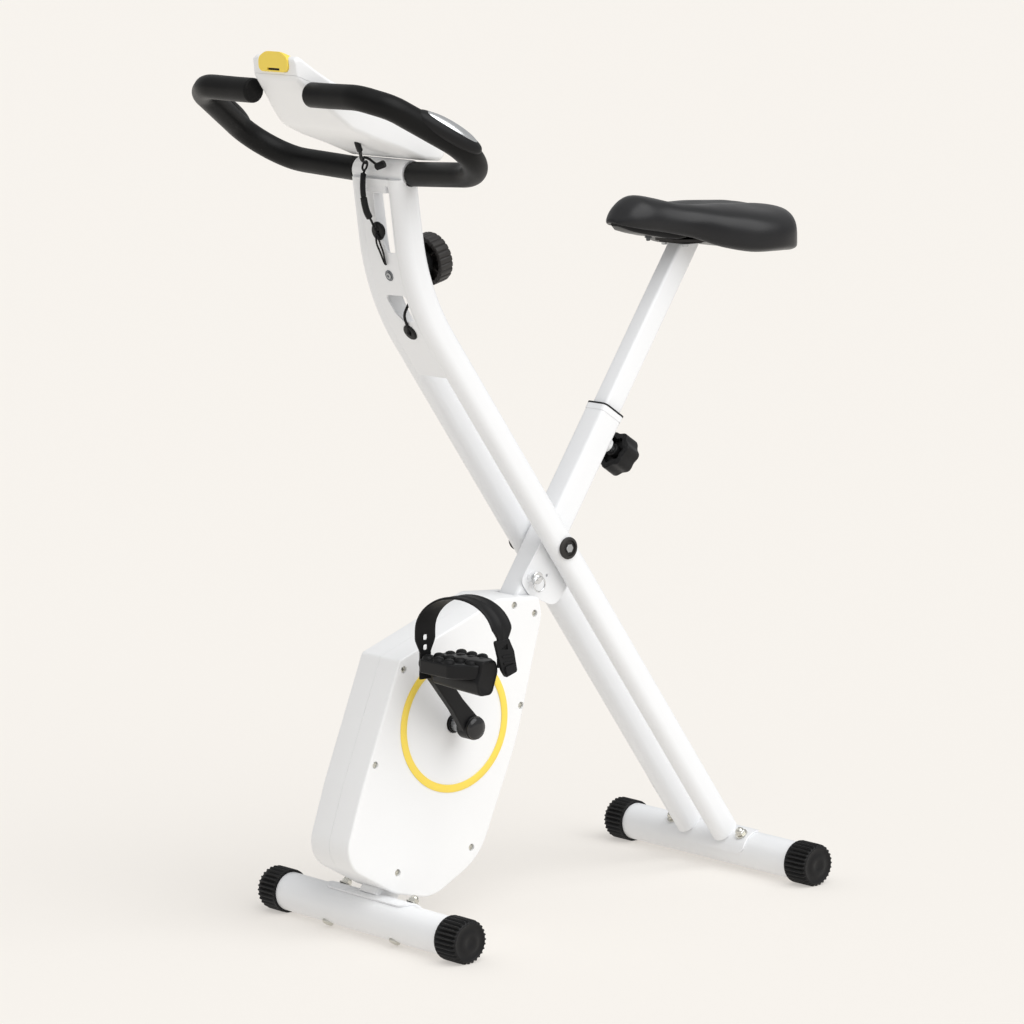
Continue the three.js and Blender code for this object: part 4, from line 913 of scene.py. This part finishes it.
# ---------- pivot and fold lock ----------
head = turned([(52.8, 14), (53, 15.6), (54.6, 16), (56, 15.6), (57, 14), (57.4, 11.6), (56, 11.2),
               (54.8, 11), (54.8, 0)], (0, *PIVOT), X, 64)
hexagon = turned([(54, 6.5), (57.6, 6.5), (58, 6)], (0, *PIVOT), X, 6)
for word, side in SIDES:
    node = "pivot_bolt" if side > 0 else "pivot_nut"
    piece("pivot_head_" + word, sided(head, side), DARK, "rear_frame", node)
    piece("pivot_hex_" + word, sided(hexagon, side), STEEL, "rear_frame")
disc = turned([(34.9, 0.5), (34.9, 8.4), (35.5, 9), (37.4, 9), (38, 8.4), (38, 4), (41, 3.8), (41.4, 3)],
              LOCK, X, 40)
PULL_R = 10.5
pull = [LOCK + Vector((39, 1 + PULL_R * cos(a), -9 + PULL_R * sin(a))) for a in sweep(0, 2 * pi, 40)]
shaft = turned([(20.4, 4), (35, 4)], LOCK, X, 24)
piece("lock_pin_ring", together(disc, swept(pull, 1.3, 10), shaft), SILVER, "lock_pin", "lock_pin")

# ---------- handlebar ----------
LOOP_TILT = radians(34)
REACH = 213.5
# the loop's left half in its own plane: (x, reach from the sleeve, radius)
LOOP = rounded([(0, 0), (60, 0), (257.3, 17.2, 71), (200.7, 190.4, 36), (161.7, 215.8, 46),
                (100, REACH), (64, REACH)], 16)


def on_loop(x, reach):
    """A point on the loop; the loop is crowned a little over its tilted plane."""
    t = reach / REACH
    above = 4 * (4 * t * (1 - t) - 1.3 * t * t)
    return Vector((x, SLEEVE[0] - reach * cos(LOOP_TILT) + above * sin(LOOP_TILT),
                   SLEEVE[1] + reach * sin(LOOP_TILT) + above * cos(LOOP_TILT)))


def pod(long, wide, tall, lift, sides=48):
    """Pointed oval body on the outer bend of the left grip; lift is out of the foam."""
    start, end = on_loop(243, 64), on_loop(213, 157)
    along = (end - start).normalized()
    across = Vector((0.45, 0, 0.9)).cross(along).normalized()
    normal = along.cross(across).normalized()
    middle = start.lerp(end, 0.5) + normal * 11
    rings = []
    for t in sweep(0, pi, 24)[1:-1]:
        share = sin(t) ** 0.75
        centre = middle - along * long * cos(t)
        rings.append([centre + across * wide * share * cos(v)
                      + normal * (lift + tall * share * sin(v)) for v in circle(sides)])
    return loft(rings)


grip_line = [on_loop(54, 0)] + [on_loop(p.x, p.y) for p in LOOP[1:-1]] + [on_loop(60, REACH)]
grip = swept(resampled(grip_line, 5, 5), FOAM_R, 40, ends=4)
for word, side in SIDES:
    piece("foam_grip_" + word, sided(grip, side), FOAM, "rear_frame", "grip_" + word)
    piece("pulse_pod_" + word, sided(pod(52, 19, 12.4, -1), side), BLACK, "rear_frame")
    piece("pulse_plate_" + word, sided(pod(45, 14.8, 13, 0.6), side), SILVER, "rear_frame",
          "pulse_sensor_" + word)

# ---------- console ----------
# the side view's corners (y, z, radius) and the plan's (y, half width)
SIDE_VIEW = rounded([
    (-157, 1236.5, 6), (-152, 1197, 8), (-136, 1180, 40), (-109, 1154, 60), (-83, 1129.5, 50),
    (-48, 1115, 60), (-4, 1100, 60), (40, 1083, 10), (78, 1080, 8), (73, 1109, 10),
    (-108, 1196, 60),
], 8)
HALF_WIDTHS = smooth_path([
    (-158, 38), (-156, 43.5), (-150, 46.5), (-128, 55), (-104, 68), (-80, 76.5), (-50, 80),
    (0, 80.6), (60, 80.3), (75, 77.5), (78.5, 72),
], 8)
DISPLAY_TILT = radians(25.7)
on_face = in_plane((-18, 1152.7), DISPLAY_TILT)
FACE_OUT = Vector((0, sin(DISPLAY_TILT), cos(DISPLAY_TILT)))
FACE_DOWN = Vector((0, cos(DISPLAY_TILT), -sin(DISPLAY_TILT)))


def crossings(outline, y):
    """Lowest and highest second coordinate where an outline crosses a first coordinate."""
    found = []
    for p, q in zip(outline, outline[1:] + outline[:1]):
        if (p.x - y) * (q.x - y) <= 0 and p.x != q.x:
            found.append(p.y + (q.y - p.y) * (y - p.x) / (q.x - p.x))
    return min(found), max(found)


def console_form():
    """Loft of rounded boxes from the tip to the rider's edge."""
    STATIONS, EDGE_R = 90, 7
    first = min(p.x for p in SIDE_VIEW) + 0.15
    last = max(p.x for p in SIDE_VIEW) - 0.15
    rings = []
    for i in range(STATIONS + 1):
        # stations crowd toward both ends
        y = first + (last - first) * (0.5 - 0.5 * cos(pi * i / STATIONS))
        low, high = crossings(SIDE_VIEW, y)
        w = crossings(HALF_WIDTHS, y)[1]
        r = min(EDGE_R, (high - low) / 2 - 0.05)
        ring = []
        for cx, cz, start in ((w - r, high - r, 0), (-w + r, high - r, 90), (-w + r, low + r, 180),
                              (w - r, low + r, 270)):
            ring += [Vector((cx + r * cos(a), y, cz + r * sin(a)))
                     for a in sweep(radians(start), pi / 2, 6)]
        rings.append(ring)
    return loft(rings)


def face_block(half_x, down0, down1, out0, out1, corner=0.1):
    """Block in the display's own plane: down the face, and out of it."""
    outline = rounded([(-half_x, down0, corner), (half_x, down0, corner), (half_x, down1, corner),
                       (-half_x, down1, corner)])
    return prism(outline, out0, out1, on_face(0, 0, 0), X, FACE_DOWN, FACE_OUT)


sleeve_room = turned([(-55, 19.5), (55, 19.5)], (0, *SLEEVE), X, 64)
foam_room = turned([(-130, FOAM_R + 1.5), (130, FOAM_R + 1.5)], (0, *SLEEVE), X)
insert_outline = rounded([(-31, 1207, 9), (31, 1207, 9), (31, 1226, 10), (16, 1234, 24),
                          (-16, 1234, 24), (-31, 1226, 10)], 8)


def insert_form(grow, y0, y1):
    """The yellow insert at the tip, or the room for it when it is grown."""
    middle = Vector((0, 1220))
    outline = [p + (p - middle).normalized() * grow for p in insert_outline]
    return prism(outline, y0, y1, u=X, v=Z, w=Y)


BUTTON = on_face(0, 65, 0)
SHELL_SEAM = -12.6  # below the display's plane
lens_room = face_block(52.4, -35.4, 35.4, -1.8, 30, 4)
button_room = turned([(-9, 12.4), (20, 12.4)], BUTTON, FACE_OUT)
above_cut = face_block(200, -300, 300, -300, SHELL_SEAM)
below_cut = face_block(200, -300, 300, SHELL_SEAM - 0.35, 300)
shape = console_form()
tip_room = insert_form(0.6, -175, -139.5)
piece("console_top_shell", shape, SHELL, "rear_frame", "console_front",
      cuts=[above_cut, lens_room, button_room, tip_room], sharp=40)
piece("console_under_shell", shape, SHELL, "rear_frame", "console_back",
      cuts=[below_cut, sleeve_room, foam_room, tip_room], sharp=40)
slot_cut = block(-12, 14, -170, -154, 1209, 1212)
above_tip = prism([(-170, 1246.3), (-100, 1190.6), (-100, 1300), (-170, 1300)], -60, 60)
piece("console_tip_insert", insert_form(0, -157, -140), YELLOW, "rear_frame", "console_insert",
      bevel=1.8, cuts=[slot_cut, above_tip])
# a black block at the floor of the shallow slot: painted shade standing for the slot's dark depth
piece("tip_slot_painted_shade", block(-11.8, 13.8, -154.4, -150, 1209.1, 1211.9), BLACK, "rear_frame")
tip_screws = [turned([(-2, 2.4), (0.2, 2.4), (0.6, 1.8), (0.2, 1), (-0.6, 0.8)], (x, -126, 1174.6),
                     (0, -0.66, -0.75), 20) for x in (-34, 34)]
piece("tip_screws", together(*tip_screws), ZINC, "rear_frame")
piece("display_window", face_block(52, -35, 35, -1.6, -0.2, 4), LENS, "rear_frame", "console_lens",
      bevel=0.4)
piece("display_panel", face_block(42, -22, 12, -0.4, -0.1, 1.5), PANEL, "rear_frame")
crown = [(0.6 + 1.8 * sin(a), 12 * cos(a)) for a in sweep(0, pi / 2, 8)]
dome = turned([(-6, 12)] + crown, BUTTON, FACE_OUT, 64)
piece("console_dome_button", dome, YELLOW, "console_button", "console_button")

# ---------- tension control ----------
KNOB_TILT = radians(14)
KNOB_AXIS = Vector((0, cos(KNOB_TILT), sin(KNOB_TILT)))
KNOB_BASE = Vector((0, 104, 936.6))
fluted = knob(KNOB_BASE + KNOB_AXIS * 0.3, KNOB_AXIS, 36, 24, 24, 1.6, hollow=12, sides=288, power=6,
              wall=4)
u, w = square_to(KNOB_AXIS)
ribs = []
for a in circle(6):
    out = u * cos(a) + w * sin(a)
    ribs.append(prism([(10.5, 1), (30, 1), (30, 13), (10.5, 13)], -1, 1, KNOB_BASE, out, KNOB_AXIS,
                      KNOB_AXIS.cross(out)))
hub = pipe([(0.6, 10.5), (13, 10.5), (13, 5.4), (0.6, 5.4)], KNOB_BASE, KNOB_AXIS, 40)
piece("tension_dial", together(fluted, hub, *ribs), DARK, "tension_knob", "tension_knob", sharp=40)


# ---------- leads ----------
def on_web(x, z):
    """Point on the web's front face, and the direction out of it."""
    face = web_edge(WEB_FRONT)
    for p, q, n in zip(face, face[1:], web_normals):
        if p.y <= z <= q.y:
            y = p.x + (q.x - p.x) * (z - p.y) / (q.y - p.y)
            normal = Vector((0, -n.x, -n.y))
            return Vector((x, y, z)), normal
    raise ValueError("no web at that height")


def grommet(x, z, radius):
    point, normal = on_web(x, z)
    return turned([(-4, radius - 3), (-0.5, radius - 3), (-0.2, radius), (1, radius), (2.2, radius - 1),
                   (2.8, radius - 2.6), (2.6, 4.4), (1.2, 3.6), (1.2, 0)], point, normal)


def wire(knots, radius, sides=12):
    return swept(smooth_path(knots), radius, sides)


UPPER_GROMMET, LOWER_GROMMET = (-2, 983), (8, 841)
piece("upper_grommet", grommet(*UPPER_GROMMET, 13), BLACK, "rear_frame")
piece("lower_grommet", grommet(*LOWER_GROMMET, 12), BLACK, "rear_frame")
upper_hole, upper_out = on_web(*UPPER_GROMMET)
lower_hole, lower_out = on_web(*LOWER_GROMMET)
EYE = Vector((-14, 12, 1072))
# the console's two thin wires run to an eye, and the lead drops from there to the upper grommet
console_wires = [wire([(14 + d, -24, 1108), (11 + d, -17, 1096), (-4 + d, -2, 1082),
                       EYE + Vector((d, 2, 3))], 1.4) for d in (-1.5, 1.5)]
eye = [EYE + Vector((4.5 * cos(v), 2.2 * sin(v), 6 * sin(v))) for v in sweep(0, 2 * pi, 32)]
drop = smooth_path([EYE + Vector((0, 0, -5)), (-13, 8, 1058), (-11, 6, 1036), (-8, 9, 1012),
                    (-6, 17, 996), upper_hole + upper_out * 4, upper_hole - upper_out * 4], 12)
slack = [wire([upper_hole + upper_out * 4 + Vector((0.6 * d, 0, -3)), (2 + 1.7 * d, 22, 966),
               (4 + 1.5 * d, 26, 954), (6 + 0.5 * d, 29.6, 940), (6, 32, 937)], 1.3)
         for d in (-2.2, 2.2)]
second = wire([(-13, 8, 1078), (-6, 4, 1084), (4, 4, 1083), (13, 6, 1078), (20, 8, 1075)], 1.8)
piece("console_lead_wires", together(*console_wires, swept(eye, 1.5, 12), swept(drop, 1.6, 12),
                                     *slack, second), RUBBER, "rear_frame", "console_lead")
plug_high = resampled([p for p in drop if 1028 < p.z < 1062], 2, 1.5)
plug_low = resampled([p for p in drop if 1000 < p.z < 1030], 2, 1.5)
plug_top = smooth_path([(14, -25, 1116), (14, -24, 1107), (13, -21, 1101), (10, -16, 1095)], 6)
spare_plug = turned([(-8, 0.5), (-8, 3.6), (-6.6, 5), (5, 5.4), (6.4, 4.6), (6.4, 1)], (22, 10, 1075),
                    (0.75, 0.4, 0.35), 24)
plugs = together(swept(plug_high, 3.9, 18, ends=1.4), swept(plug_low, 4.7, 18, ends=1.6),
                 swept(plug_top, 4.2, 20, ends=1.4), spare_plug)
piece("lead_connectors", plugs, BLACK, "rear_frame")
low_knots = [(17, 72, 894), (15.5, 63, 880), (13.5, 58, 865),
             lower_hole + lower_out * 7 + Vector((2, 0, 10)), lower_hole + lower_out * 4,
             lower_hole - lower_out * 5]
piece("lower_lead_wire", wire(low_knots, 2.0, 14), RUBBER, "rear_frame", "lower_lead")
screw_at, screw_out = on_web(5.8, 921.5)
# the cup's dark grey is partly its own bare steel and partly painted shade, standing for the recess round
# the screw
cup_and_painted_shade = pipe([(-0.6, 7.8), (0.8, 7.8), (1.4, 7), (0.6, 4.8), (-0.6, 4.8)], screw_at, screw_out, 36)
piece("web_screw_cup_and_painted_shade", cup_and_painted_shade, MAGNET, "rear_frame")
screw = turned([(-0.6, 4.6), (1.6, 4.4), (2.2, 3.2), (2.2, 2.2), (0.8, 2), (0.8, 0)], screw_at,
               screw_out, 36)
piece("web_screw", screw, STEEL, "rear_frame")


# ---------- studio ----------
def floor():
    """Pale floor out to the horizon; its own glow keeps the shadows light."""
    FAR = 9e4
    made = raw(([Vector((x, y, 0)) for x, y in ((-FAR, -FAR), (FAR, -FAR), (FAR, FAR), (-FAR, FAR))],
                [(0, 1, 2, 3)]), "floor")
    material = bpy.data.materials.new("pale_floor")
    made.data.materials.append(material)
    material.use_nodes = True
    fill(material.node_tree.nodes["Principled BSDF"], {
        "Base Color": (0.45, 0.437, 0.413, 1), "Emission Color": (0.887, 0.845, 0.80, 1),
        "Emission Strength": 0.497, "Roughness": 0.9, "Specular IOR Level": 0.1})


def sky(strength):
    world = bpy.data.worlds.new("studio")
    world.use_nodes = True
    fill(world.node_tree.nodes["Background"], {"Color": (1, 1, 1, 1), "Strength": strength})
    bpy.context.scene.world = world


def sun(name, power, wide, direction):
    """A soft sun, wide degrees across, that shines from a direction."""
    data = bpy.data.lights.new(name, "SUN")
    data.energy = power
    data.angle = radians(wide)
    lamp = bpy.data.objects.new(name, data)
    lamp.rotation_mode = "QUATERNION"
    lamp.rotation_quaternion = Vector(direction).to_track_quat("Z", "Y")
    bpy.context.scene.collection.objects.link(lamp)


floor()
sky(0.49)
bpy.context.scene.view_settings.view_transform = "Standard"
sun("key", 2.02, 64, (1, 0.08, 1.12))
sun("top", 0.4, 80, (0.1, -0.2, 1))
